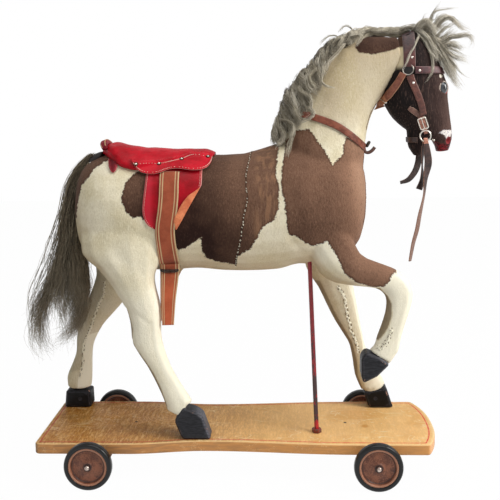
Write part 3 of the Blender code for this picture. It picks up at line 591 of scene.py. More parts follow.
# World strength = roomLevel + (1 - roomLevel) * seen; the floor glows white where the camera sees it
def makeRoom(plan):
    world = bpy.data.worlds.new("room")
    bpy.context.scene.world = world
    world.use_nodes = True
    tree = world.node_tree
    seen, mirrored, through = raysOf(Flow(tree))
    bright = ramp(seen + mirrored * 0.5 + through, 0.0, 1.0)
    level = bright * (1 - plan["roomLevel"]) + plan["roomLevel"]
    tree.links.new(level.socket, tree.nodes["Background"].inputs["Strength"])
    tree.nodes["Background"].inputs["Color"].default_value = (1, 1, 1, 1)

    half = plan["floorHalf"]
    corners = [(-half, -half, 0), (half, -half, 0), (half, half, 0), (-half, half, 0)]
    floor = makePiece("floor", corners, [(0, 1, 2, 3)], turn=False)
    finish = Finish("paleFloor", rough=0.9, specular=0.1)
    flow = finish.flow
    finish.set(colour=blended(plan["floorColour"], plan["floorShade"], grain(flow, 0.5)))
    glow = flow.node("Emission", {}, {"Color": (1, 1, 1, 1), "Strength": 1.0})
    seen, mirrored, through = raysOf(flow)
    share = ramp(seen + mirrored + through, 0.0, 1.0) * plan["floorWhite"]
    both = flow.node("MixShader", {}, {0: share, 1: Flow(finish.tree, finish.shader.outputs[0]), 2: glow})
    finish.tree.links.new(both.socket, finish.tree.nodes["Material Output"].inputs["Surface"])
    finish.on(floor)


makeLamps(lamps)
makeRoom(stage)
print("room and lamps set")

# Reins: rows of (x, distance outside the bit ring, z, twist, width) in mm
reinRows = {
    "shortTail": [(311.5, -3, 470, 0, 6.5), (309, -3, 456, 45, 8), (308, -1.5, 435, 70, 9),
                  (308, -1, 412, 40, 11), (303, -1, 396, 10, 11)],
    "longTail": [(313.5, 3.2, 470, 0, 7.5), (315, 5, 455, 0, 11), (316, 6, 438, 5, 12), (312, 6, 414, 45, 11),
                 (310, 6, 388, 65, 10.5), (303, 7, 355, 50, 10.5), (299, 7, 332, 45, 10.5),
                 (293, 7, 309, 50, 10.5), (288, 7, 280, 60, 10.5)],
    "farTail": [(312.5, 3.2, 470, 0, 7.5), (312, 3, 451, 5, 11), (310, 1, 437, 10, 11),
                (304, -3, 422, 15, 10.5), (293, -6, 409, 15, 9), (279, -8, 404, 15, 6)],
    "nearFold": [(311.5, -3, 470, 0, 6.5), (312.5, -2.4, 476.5, 0, 6.2), (312.5, 0, 478.4, 0, 6.2),
                 (312.5, 2.4, 476.5, 0, 6.2), (313.5, 3.2, 470, 0, 7.5)],
    "farFold": [(311, -3.5, 456, 0, 8), (311.5, -3, 470, 0, 6.5), (312.5, -2.4, 476.5, 0, 6.2),
                (312.5, 0, 478.4, 0, 6.2), (312.5, 2.4, 476.5, 0, 6.2), (312.5, 3.2, 470, 0, 7.5)],
}
leatherThickness = 1.8


# A rein's strap; its y is counted outwards from the middle of its bit ring
def reinPiece(name, rows, side, ring):
    rows = np.array(rows, float)
    low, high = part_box(ring)
    rows[:, 1] = (low.y + high.y) / 2 / mm + side * rows[:, 1]
    path, left, right, up = ribbonLines(rows, 8)
    return strapPiece(name, left, right, up, leatherThickness * mm), path


nearLong, nearLongPath = reinPiece("nearLongRein", reinRows["longTail"], near, "near_bit_ring")
nearShort, nearShortPath = reinPiece("nearShortRein", reinRows["shortTail"], near, "near_bit_ring")
farTail, farTailPath = reinPiece("farReinTail", reinRows["farTail"], far, "far_bit_ring")
nearFold, _ = reinPiece("nearReinFold", reinRows["nearFold"], near, "near_bit_ring")
farFold, _ = reinPiece("farReinFold", reinRows["farFold"], far, "far_bit_ring")
for piece, path, node in (
    (nearLong, nearLongPath, "near_rein"), (nearShort, nearShortPath, "near_rein"),
    (farTail, farTailPath, "far_rein"),
):
    placed(piece, "strap", node)
placed(nearFold, "strap", "near_rein")
placed(farFold, "strap", "far_rein")
reinPaths = (nearLongPath, nearShortPath, farTailPath)
print("reins hung: " + ", ".join("%.0f mm" % (lengthOf(path) / mm) for path in reinPaths))

# Outlines of the dark patches on the near side, as (x, z) in mm from the origin
patchOutlines = {
    "rumpStrip": [(-196, 517), (-216, 510), (-232, 499), (-238, 486), (-250, 474), (-256, 452), (-262, 420),
                  (-330, 400), (-330, 600), (-196, 600)],
    "rumpPatch": [(-140, 494), (-160, 495), (-170, 487), (-177, 479), (-180, 468), (-183, 454), (-181, 447),
                  (-176, 433), (-164, 423), (-154, 426), (-149, 420), (-126, 417), (-100, 415), (-100, 494)],
    "barrel": [(-117, 505), (-119, 396), (-96, 369), (-86, 373), (-58, 391), (-59, 367), (-51, 355),
               (-38, 349), (-6, 342), (-2, 359), (18, 370), (34, 396), (38, 406), (54, 415), (64, 434),
               (66, 466), (61, 486), (63, 515), (68, 541), (70, 620), (-117, 620)],
    "shoulder": [(78, 542), (71, 508), (68, 468), (74, 445), (76, 424), (79, 395), (96, 390), (105, 381),
                 (119, 374), (128, 377), (140, 382), (152, 365), (160, 347), (166, 333), (187, 318),
                 (211, 310), (228, 312), (236, 318), (241, 330), (248, 332), (262, 352), (262, 520),
                 (212, 533), (172, 546), (167, 532), (168, 520), (160, 513), (150, 503), (137, 528),
                 (127, 541), (114, 560), (92, 557)],
    "crest": [(201, 716), (188, 690), (193, 680), (218, 676), (243, 681), (262, 689), (265, 696), (262, 720)],
}
# The far side, which the photograph doesn't show
farOutlines = {
    "rumpStrip": patchOutlines["rumpStrip"],
    "barrel": [(-150, 520), (-158, 470), (-140, 430), (-112, 405), (-78, 398), (-40, 372), (0, 360),
               (30, 385), (52, 420), (62, 466), (60, 505), (66, 541), (70, 620), (-140, 620)],
    "shoulder": [(80, 545), (84, 500), (98, 468), (104, 430), (126, 404), (150, 392), (172, 360), (200, 352),
                 (262, 372), (262, 520), (212, 533), (172, 546), (150, 520), (128, 541), (114, 560)],
    "crest": patchOutlines["crest"],
}


# Distance in mm from (x, z) points to a line; positive inside a closed one, where a ray crosses it oddly
def lineDistance(points, line, closed=False):
    start = np.asarray(line, float)
    span = np.roll(start, -1, 0) - start
    if not closed:
        start, span = start[:-1], span[:-1]
    nearest, crossings = np.full(len(points), 1e9), np.zeros(len(points), int)
    for (ax, az), (dx, dz) in zip(start, span):
        px, pz = points[:, 0] - ax, points[:, 1] - az
        share = np.clip((px * dx + pz * dz) / (dx * dx + dz * dz), 0, 1)
        nearest = np.minimum(nearest, np.hypot(px - share * dx, pz - share * dz))
        if closed and dz:
            crossings += ((pz >= 0) != (pz - dz >= 0)) & (px < pz / dz * dx)
    return np.where(crossings % 2 == 1, nearest, -nearest) if closed else nearest


# How far inside an outline each point lies, negative outside
def insideBy(points, outline):
    return lineDistance(points, outline, True)


# Points near (x, z) move by (moveX, moveZ) * exp(-distance^2 / reach^2), on one side or on both (side 0)
def pulled(points, rows):
    for side, x, z, reach, moveX, moveZ in rows:
        weight = np.exp(-((points[:, 0] / mm - x) ** 2 + (points[:, 2] / mm - z) ** 2) / reach ** 2)
        weight *= (points[:, 1] / mm - horseMiddle) * side >= 0
        points[:, [0, 2]] += weight[:, None] * np.array((moveX, moveZ)) * mm
    return points


# Each point moves towards its neighbours' mean and a little back: p += s * (mean - p), s = 0.6 then -0.62
def relaxed(points, edges, rounds, share=1.0):
    count = len(points)
    degree = np.maximum(np.bincount(edges.ravel(), minlength=count), 1)[:, None]
    share = np.broadcast_to(np.asarray(share, float), (count,))[:, None]
    (first, second), summed = edges.T, lambda at, what: np.bincount(at, what, count)
    for step in range(rounds):
        sums = np.stack([
            summed(first, points[second, k]) + summed(second, points[first, k]) for k in range(3)
        ], -1)
        points = points + share * (0.62 if step % 2 == 0 else -0.60) * (sums / degree - points)
    return points


# One skin over several CAD nodes: their merged, swollen copies joined by a voxel remesh
def joinedSkin(name, nodes, voxel, swell):
    shape = bmesh.new()
    for node in nodes:
        shape.from_mesh(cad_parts[node].data)
    bmesh.ops.remove_doubles(shape, verts=shape.verts, dist=1e-5)
    bmesh.ops.recalc_face_normals(shape, faces=shape.faces)
    mesh = bpy.data.meshes.new(name + "Rough")
    shape.to_mesh(mesh)
    shape.free()
    points, normals, _ = meshArrays(mesh)
    movePoints(mesh, points + normals * swell)
    rough = added(name + "Rough", mesh)
    remesh = rough.modifiers.new("remesh", "REMESH")
    remesh.mode, remesh.voxel_size, remesh.use_smooth_shade = "VOXEL", voxel, True
    bpy.context.view_layer.update()
    made = bpy.data.meshes.new_from_object(rough.evaluated_get(bpy.context.evaluated_depsgraph_get()))
    bpy.data.objects.remove(rough)
    made.name = name
    return added(name, made)


# The hide over trunk, neck and legs
hide = {
    "nodes": ("torso", "neck", "near_hind_leg", "far_hind_leg", "near_fore_leg", "far_fore_leg"),
    "voxel": 0.0026, "swell": 0.0004, "rounds": 34,
    # Ridges and folds: (side or 0 for both, line of (x, z), height in mm, half width in mm)
    "ridges": [
        (near, [(-136, 256.5), (-135, 234), (-131, 206.5), (-120, 180), (-106, 155), (-97, 140), (-89, 125)],
         1.5, 4),
        (near, [(-150, 470), (-120, 430), (-104, 380), (-98, 345)], -1.6, 7),
        (near, [(-205, 380), (-170, 345), (-135, 330)], -1.2, 12),
        (near, [(84, 385), (112, 352), (140, 330), (176, 318)], -2.2, 6),
        (near, [(120, 395), (160, 372), (196, 352)], -1.2, 14),
        (0, [(90, 480), (112, 430), (125, 385)], 2.0, 18),
        (0, [(-225, 470), (-190, 440), (-160, 400)], 1.6, 22),
        (near, [(247, 329), (257, 320), (266, 306), (264, 284), (258, 264), (252, 235), (249, 205)], 1.3, 4),
        (near, [(-182, 275), (-167, 270), (-154, 262), (-146, 254)], -1.0, 4),
    ],
    # The cloth pulled over the tops of the hooves: (y's sign, x, z, reach, move x, move z)
    "pulls": [(near, -98, 112, 12, 3, -9), (far, -293, 108, 40, -7, -9), (far, 232, 104, 24, 4.5, -11),
              (far, 225, 92, 9, 0, -9), (near, -100, 318, 30, -20, 0), (0, -72, 338, 34, 0, 4),
              (0, 94, 330, 20, 0, 5), (0, 263, 689, 14, 0, 5), (near, 205, 196, 9, 4, 2)],
    "seams": {
        "barrel": [(22, 524), (21, 521), (16, 501), (13, 475), (16, 454), (12, 434), (9, 415), (4, 387),
                   (-1, 367), (-6, 339)],
    },
    # Painted light and shade: grounds with soft bounds, then strips with sharp ones: (side, tone, outline of
    # (x, z) in mm); a positive tone is a painted highlight, a negative one a painted shade
    "grounds": [
        (near, 0.6, [(-215, 330), (-60, 320), (-60, 80), (-150, 80), (-215, 200)]),
        (near, -0.9, [(100, 740), (272, 740), (272, 666), (225, 668), (185, 664), (150, 650), (100, 600)]),
        (near, 0.75, [(170, 400), (310, 400), (310, 180), (196, 180), (196, 300), (170, 350)]),
        (near, 0.6, [(185, 500), (240, 500), (240, 370), (175, 370)]),
        (near, 0.6, [(120, 395), (180, 395), (180, 330), (120, 345)]),
        (near, 0.35, [(-215, 400), (-115, 400), (-115, 310), (-215, 310)]),
        (near, -0.4, [(-165, 530), (-20, 530), (-25, 400), (-60, 345), (-165, 345)]),
        (near, -0.3, [(-215, 505), (-165, 505), (-165, 410), (-215, 420)]),
    ],
    "strips": [
        (near, 1, [(-128, 300), (-134, 292), (-137, 266), (-138, 249), (-137, 231), (-135, 213), (-131, 196),
                   (-124, 178), (-117, 162), (-107, 147), (-97, 131), (-88, 122), (-60, 116), (-60, 300)]),
        (near, 1, [(242, 334), (247, 329), (257, 320), (265, 312), (267, 301), (264, 284), (258, 264),
                   (253, 245), (250, 225), (249, 212), (250, 194), (290, 194), (290, 345)]),
        (near, -1, [(-190, 288), (-186, 282), (-179, 271), (-174, 257), (-171, 244), (-173, 224), (-168, 213),
                    (-152, 191), (-139, 171), (-129, 149), (-123, 131), (-119, 118), (-119, 110), (-97, 101),
                    (-95, 92), (-140, 92), (-210, 200), (-215, 288)]),
        (near, -1, [(222, 309), (227, 303), (235, 295), (241, 284), (241, 264), (236, 247), (229, 234),
                    (221, 224), (200, 224), (200, 300)]),
        (far, 0.9, [(183, 290), (185, 283), (192, 262), (197, 236), (202, 214), (208, 193), (210, 178),
                    (214, 100), (262, 96), (250, 178), (250, 290)]),
        (far, -0.8, [(134, 299), (148, 269), (159, 243), (171, 221), (180, 205), (189, 188), (195, 171),
                     (199, 155), (201, 140), (202, 121), (212, 92), (120, 80), (100, 299)]),
        (far, -0.35, [(-225, 310), (-239, 299), (-242, 275), (-252, 256), (-261, 234), (-267, 218),
                      (-277, 198), (-284, 181), (-287, 155), (-290, 135), (-350, 110), (-350, 310)]),
        (far, 1.5, [(-262, 200), (-277, 198), (-284, 181), (-287, 155), (-290, 135), (-296, 118), (-300, 95),
                     (-250, 95), (-250, 190)]),
    ],
    # Under this line, below the mane, the neck gets painted shade
    "neckLine": [(90, 560), (135, 630), (165, 680), (190, 705), (260, 715)],
}


# The skin is smoothed, pulled, then lifted by the sum of rise * exp(-(distance / half width)^2)
def makeHide(plan):
    piece = joinedSkin("hide", plan["nodes"], plan["voxel"], plan["swell"])
    mesh = piece.data
    points, normals, edges = meshArrays(mesh)
    height = points[:, 2] / mm
    legs = 1 - smoothStep(height, 200, 330)
    points = relaxed(points, edges, plan["rounds"], 1 - 0.35 * legs)
    movePoints(mesh, pulled(points, plan["pulls"]))
    points, normals, edges = meshArrays(mesh)
    flat = points[:, [0, 2]] / mm
    nearShare = 1 - smoothStep(points[:, 1] / mm, -22, 30)
    legsHigh = smoothStep(flat[:, 1], 240, 330)
    lift = np.zeros(len(points))
    for side, line, rise, half in plan["ridges"]:
        share = 1 if side == 0 else (nearShare if side == near else 1 - nearShare)
        lift += share * rise * np.exp(-(lineDistance(flat, line) / half) ** 2)
    facing = np.abs(normals[:, 1])
    seam = lineDistance(flat, plan["seams"]["barrel"])
    lift += smoothStep(facing, 0.1, 0.4) * 0.55 * bell(seam, 0, 2.2)
    movePoints(mesh, points + normals * lift[:, None] * mm)
    nearDark = np.max([insideBy(flat, line) for line in patchOutlines.values()], axis=0)
    farDark = np.max([insideBy(flat, line) for line in farOutlines.values()], axis=0)
    # Painted shade: greyer where the hide faces down or back, on the far legs and up the neck, most under the
    # mane: ramp(-0.65 x - 0.75 z of its normal)
    turned = smoothStep(-0.65 * normals[:, 0] - 0.75 * normals[:, 2], 0.0, 1.0)
    turned = np.maximum(turned, 0.25 * (1 - legsHigh) * (1 - nearShare))
    onNeck = smoothStep(flat[:, 0], 95, 150) * smoothStep(flat[:, 1], 520, 590)
    turned = np.maximum(turned, (0.45 + 0.35 * np.exp(-(lineDistance(flat, plan["neckLine"]) / 45) ** 2))
                        * onNeck)
    # Painted light and shade, one tone for each point from the grounds and strips
    strip = np.zeros(len(points))
    for soft, rows in ((20.0, plan["grounds"]), (1.2, plan["strips"])):
        for side, tone, line in rows:
            share = (nearShare if side == near else 1 - nearShare) * smoothStep(insideBy(flat, line),
                                                                                -soft, soft)
            if soft > 2 and tone < 0:
                share = share * smoothStep(nearDark, -2, 2)
            strip = strip * (1 - share) + tone * share
    setValues(mesh, patch=nearDark * nearShare + farDark * (1 - nearShare), turned=turned, strip=strip)
    mesh.shade_smooth()
    return piece


# Short clipped coat: cream ground, brown patches with ragged edges, faint streaks along the hair, with
# painted light and shade
def hideFinish():
    finish = Finish("paintedHide", rough=0.85, sheen=0.06, sheenRough=0.5, sheenTint=(1.0, 0.9, 0.8, 1),
                    specular=0.12)
    flow = finish.flow
    patch = readOut(flow, "patch")
    ragged = grain(flow, 0.0045, 4, (1, 1, 0.7))
    soft = grain(flow, 0.016, 3)
    bristle = grain(flow, 0.0016, 3, (0.7, 0.7, 2.2))
    edge = patch + (ragged - 0.5) * 8.0 + (soft - 0.5) * 5.0 + (bristle - 0.5) * 5.0
    dark = ramp(edge, -0.7, 0.9)
    streak = grain(flow, 0.0032, 5, (0.6, 0.6, 1.8), rough=0.7)
    fleck = grain(flow, 0.0016, 4, (0.8, 0.8, 1.5), rough=0.7)
    cloud = grain(flow, 0.055, 3)
    wide = grain(flow, 0.12, 2)
    turned = readOut(flow, "turned")
    strip = readOut(flow, "strip")
    cream = layered(
        blended("e2d6b4", "f3ead0", ramp(cloud, 0.32, 0.66)),
        ("c9ba90", ramp(wide, 0.52, 0.74) * 0.35),
        ("a08c62", ramp(streak, 0.50, 0.66) * 0.22),
        ("fbf5e2", ramp(streak, 0.49, 0.38) * 0.35),
        ("84714c", ramp(fleck, 0.54, 0.70) * 0.12),
        # painted shade where the hide faces down or back and under the mane
        ("9a7f58", turned * (0.75 + (cloud - 0.5) * 0.9)),
        # painted highlight and painted shade from the light tones
        ("fffae6", ramp(strip, 0.0, 1.0) * 0.8),
        ("6f5b42", ramp(0 - strip, 0.0, 1.0) * 0.75),
    )
    x, z = coordinate(flow, 0), coordinate(flow, 2)
    # Painted light on the brown: lighter towards the front and higher up, darker at the crest, and the
    # painted light tones
    light = 0.03 + ramp(x, -0.07, 0.06) * 0.27 + ramp(z, 0.36, 0.5) * 0.36 + ramp(x, 0.13, 0.2) * 0.32
    light = light - ramp(z, 0.60, 0.66) * 0.6 + (cloud - 0.5) * 0.5 + (wide - 0.5) * 0.4 + strip * 0.35
    brown = layered(
        blended("26120d", "946f59", light),
        # painted highlight where that painted light is strongest
        ("b08b72", ramp(light, 0.85, 1.15) * 0.6),
        ("a58066", ramp(streak, 0.51, 0.66) * (ramp(light, 0.0, 0.5) * 0.2 + 0.06)),
        ("1c0f0a", ramp(streak, 0.49, 0.38) * 0.25),
        ("1a0e0a", ramp(fleck, 0.46, 0.34) * 0.2),
    )
    rust = ramp(grain(flow, 0.010, 3, (0.7, 0.7, 6)), 0.46, 0.62) * ramp(x, 0.02,
                                                                         0.035) * (1 - ramp(x, 0.06, 0.07))
    brown = blended(brown, "a0785a", rust * 0.55)
    rim = ramp(edge, 0.6, 4.5)
    brown = blended("38211a", brown, rim * 0.6 + 0.4)
    colour = blended(cream, brown, dark)
    finish.set(colour=colour, rough=0.86 - dark * 0.12)
    return finish.relief(streak * 0.0008 + fleck * 0.0004 + ragged * 0.0005 + dark * 0.00025, 0.9)


hidePiece = makeHide(hide)
hideLook = hideFinish()
placed(hidePiece, "hide", *hide["nodes"], finish=hideLook)
print("hide made: %d faces" % len(hidePiece.data.polygons))

# Head and lower jaw, with eyes, lips and nostrils
headPlan = {
    "nodes": ("head", "lower_jaw"), "voxel": 0.0016, "swell": 0.0004, "rounds": 14,
    "noseMark": [(321, 550), (329, 555), (345, 555), (346, 549), (340, 543), (334, 540), (331, 546),
                 (326, 549)],
    "star": [(322, 643), (326, 644.5), (328.5, 641), (325.5, 637.5), (322, 639)],
    "lips": [(315, 542), (320, 537), (327, 533), (334, 533), (341, 537), (352, 536), (348, 522), (338, 512),
             (318, 512)],
    "nostril": (337.5, 538.5), "nostrilSize": (3.4, 5.2),
    # Muzzle and chin: over which x and z the move grows from 0 to 1, then (move x, move z)
    "moves": [((302, 314), (548, 524), (1.0, -4.6)), ((312, 304), (552, 528), (-4.0, -3.0))],
    # Bumps and hollows: (x, z, spread x, spread z, height), mm
    "bumps": [(329, 622, 13, 12, 2.6), (272, 600, 22, 26, 2.2), (312, 582, 14, 30, -1.6),
              (330, 545, 11, 10, 1.8), (300, 560, 12, 10, -1.2), (283, 655, 16, 16, 1.2),
              (335, 590, 10, 18, 0.9)],
}


# Muzzle and chin are moved, then lift = sum of rise * exp(-(dx / spread x)^2 - (dz / spread z)^2)
def makeHead(plan):
    piece = joinedSkin("headSkin", plan["nodes"], plan["voxel"], plan["swell"])
    mesh = piece.data
    points, normals, edges = meshArrays(mesh)
    points = relaxed(points, edges, plan["rounds"])
    x, z = points[:, 0] / mm, points[:, 2] / mm
    for overX, overZ, move in plan["moves"]:
        share = smoothStep(x, *overX) * smoothStep(z, *overZ)
        points[:, [0, 2]] += share[:, None] * np.array(move) * mm
    movePoints(mesh, points)
    points, normals, edges = meshArrays(mesh)
    flat = points[:, [0, 2]] / mm
    x, z = flat.T
    sideways = smoothStep(np.abs(normals[:, 1]), 0.05, 0.5)
    lift = np.zeros(len(points))
    for cx, cz, sx, sz, rise in plan["bumps"]:
        lift += sideways * rise * np.exp(-((x - cx) / sx) ** 2 - ((z - cz) / sz) ** 2)
    (nx, nz), (wx, wz) = plan["nostril"], plan["nostrilSize"]
    off = np.hypot((x - nx) / wx, (z - nz) / wz)
    onSide = smoothStep(np.abs(points[:, 1] / mm - horseMiddle), 3, 7)
    lift += onSide * (1.3 * bell(off, 1.35, 0.45) - 3.2 * (1 - smoothStep(off, 0.2, 1.15)))
    movePoints(mesh, points + normals * lift[:, None] * mm)
    setValues(
        mesh, noseMark=insideBy(flat, plan["noseMark"]), star=insideBy(flat, plan["star"]),
        lips=insideBy(flat, plan["lips"]), nostril=(1.25 - off) * onSide * 4,
    )
    mesh.shade_smooth()
    return piece


# Dark short hide with streaks, a red mouth, a pale nose mark and a star
def headFinish():
    finish = Finish("darkHide", rough=0.75, sheen=0.05, sheenRough=0.5, sheenTint=(1.0, 0.9, 0.85, 1),
                    specular=0.18)
    flow = finish.flow
    ragged = grain(flow, 0.0025, 4, (1, 1, 0.6))
    streak = grain(flow, 0.0035, 4, (0.4, 0.5, 2.8), (0, math.radians(18), 0))
    fleck = grain(flow, 0.0015, 3)
    cloud = grain(flow, 0.04, 2)
    ahead, height = coordinate(flow, 0), coordinate(flow, 2)
    jaw = ramp(ahead, 0.27, 0.335)
    colour = blended("140e0e", "46332f", jaw * 0.8 + (cloud - 0.5) * 0.7)
    front = ramp(ahead, 0.312, 0.345)
    colour = layered(
        colour,
        ("6e544b", front * (0.35 + (cloud - 0.5) * 0.8)),
        ("6b534b", ramp(streak, 0.52, 0.68) * 0.4),
        ("0d0909", ramp(fleck, 0.52, 0.68) * 0.5),
    )
    # Behind the crown strap it takes the neck's colours: brown above, cream below
    behind = (1 - ramp(ahead, 0.2655, 0.2675)) * ramp(height, 0.650, 0.660)
    neckColour = blended("d8c9a6", "543d31", ramp(height + (ragged - 0.5) * 0.004, 0.686, 0.689))
    colour = blended(colour, neckColour, behind)
    mark = readOut(flow, "noseMark") + (ragged - 0.5) * 5.0
    star = readOut(flow, "star") + (ragged - 0.5) * 4.0
    lips = readOut(flow, "lips") + (ragged - 0.5) * 4.0
    red = blended("250a0d", "932329", ramp(cloud * 0.4 + ragged * 0.6, 0.46, 0.6))
    colour = layered(
        colour,
        (red, ramp(lips, -1.0, 2.5)),
        (blended("e9e3da", "b7b0b6", ramp(ragged, 0.45, 0.6)), ramp(mark, -0.4, 1.0)),
        ("f4ead9", ramp(star, -0.6, 0.8)),
        ("8c2b30", ramp(readOut(flow, "nostril"), -0.4, 1.2) * 0.9),
    )
    finish.set(colour=colour, rough=0.82 - ramp(lips, -1.0, 2.5) * 0.35)
    return finish.relief(streak * 0.0006 + fleck * 0.0004, 0.8)


headPiece = makeHead(headPlan)
placed(headPiece, "dark_hide", *headPlan["nodes"], finish=headFinish())
print("head made: %d faces" % len(headPiece.data.polygons))

# Glass eyes in pale lids
eyePlan = {"place": (340.2, 17.4, 558.5), "size": (7.9, 7.0, 11.0), "lean": 24, "rim": 1.35}


# A ball of (sin a cos b, -cos a, sin a sin b), its front swollen by a cornea, turned towards the front
def makeEyes(plan):
    glass = Finish("eyeGlass", rough=0.06, coat=1.0, coatRough=0.02, ior=1.5)
    flow = glass.flow
    away = readOut(flow, "away") + (grain(flow, 0.0015, 3) - 0.5) * 0.06
    ring = layered(
        blended("0b0d10", "343b43", ramp(away, 0.30, 0.42)),
        ("202226", ramp(away, 0.62, 0.74)), ("d8cfc4", ramp(away, 0.80, 0.90)),
    )
    glass.set(colour=ring)
    lid = Finish("eyeLid", rough=0.5, coat=0.3)
    flow = lid.flow
    low = ramp(readOut(flow, "upward") + (grain(flow, 0.002) - 0.5) * 0.7, -0.75, -0.2)
    lid.set(colour=blended("a5443c", blended("e3d3c4", "b09a8b", grain(flow, 0.003)), low))
    lid.relief(grain(flow, 0.001, 3) * 0.0003)
    for name, side in bothSides:
        a = np.linspace(0, math.pi, 33)[:, None]
        b = fullTurn * np.arange(40)[None, :] / 40
        swell = 1 + 0.10 * bell(a, 0, 0.6)
        ball = np.stack((np.sin(a) * np.cos(b), -np.cos(a) * swell + 0 * b, np.sin(a) * np.sin(b)), -1)
        ball = ball * np.array(plan["size"])
        rimAngle = fullTurn * np.arange(48) / 48
        rim = np.stack((np.cos(rimAngle), 0 * rimAngle - 0.30, np.sin(rimAngle)),
                       -1) * (np.array(plan["size"]) * 0.97)
        lean = math.radians(plan["lean"])
        turn = np.array(((math.cos(lean), -math.sin(lean), 0), (math.sin(lean), math.cos(lean), 0),
                         (0, 0, 1)))
        x, y, z = plan["place"]
        centre = onDeck((x, horseMiddle + side * y, z))
        flip = np.array((1, -side, 1))
        grid = (ball @ turn.T) * flip * mm + centre
        away = np.broadcast_to(np.clip(a / 1.25, 0, 1.0), grid.shape[:2])
        eye = skinPiece(name + "Eye", grid, values={"away": away})
        placed(eye, "eye", name + "_eye", finish=glass)
        path = (rim @ turn.T) * flip * mm + centre
        edge = wire(name + "EyeLid", path, plan["rim"] * mm * (1 + 0.25 * np.cos(rimAngle * 2)), 8, True,
                    (0, 1, 0))
        setValues(edge.data, upward=np.repeat(np.sin(rimAngle), 8))
        placed(edge, "dark_hide", finish=lid)


makeEyes(eyePlan)
print("eyes set")

# Hair: locks of fine tapered strands

# guide(t) + offset * (root + (tip - root) t) + wander * t + curl * t * (cos, sin)(2 pi turns t + phase)
def lockPaths(random, guide, count, steps, root, tip, wander=2.0, curl=0.0, turns=2.0, shortest=0.7):
    line = evenly(smoothRows(guide, 8), 64)
    stops = np.linspace(0, 1, 64)
    first = random.uniform(0, 0.06, (count, 1))
    last = random.uniform(shortest, 1.0, (count, 1)) ** 0.7
    t = first + (last - first) * np.linspace(0, 1, steps)[None, :]
    path = np.stack([np.interp(t, stops, column) for column in line.T], -1)
    offset = random.normal(size=(count, 1, 3))
    offset *= np.minimum(1, 1.7 / np.maximum(np.linalg.norm(offset, axis=-1, keepdims=True), 1e-6))
    path = path + offset * (root + (tip - root) * t[..., None] ** 0.8)
    path = path + drift(random, (count, steps, 3), 2, 1) * wander * t[..., None]
    if curl:
        phase = random.uniform(0, 0.9) * 6.28 + random.normal(size=(count, 1)) * 0.35
        angle = fullTurn * turns * t + phase
        path = path + curl * t[..., None] * np.stack((np.cos(angle), 0.8 * np.sin(angle),
                                                      0.6 * np.sin(angle + 0.8)), -1)
    return path


# 1 at the root, thinning to a point: thickness * (1 - t^3) ^ 0.8
def strandRadii(random, count, steps, thickness):
    t = np.linspace(0, 1, steps)[None, :]
    size = thickness * random.uniform(0.6, 1.25, (count, 1))
    return size * np.clip(1.02 - t ** 3, 0.05, 1) ** 0.8 * mm


# Dark to light by each strand's tone, and paler towards the tips
def hairFinish(name, dark, middle, light, rough, tips=0.25):
    finish = Finish(name, rough=rough, sheen=0.25, sheenRough=0.4, specular=0.35)
    flow = finish.flow
    tone = readOut(flow, "tone") + (grain(flow, 0.02, 2) - 0.5) * 0.7
    colour = layered(
        blended(dark, middle, ramp(tone, 0.0, 0.5)),
        (light, ramp(tone, 0.55, 1.0)),
        (light, ramp(readOut(flow, "along"), 0.4, 1.0) * tips),
    )
    finish.set(colour=colour, rough=rough + (tone - 0.5) * 0.1)
    return finish


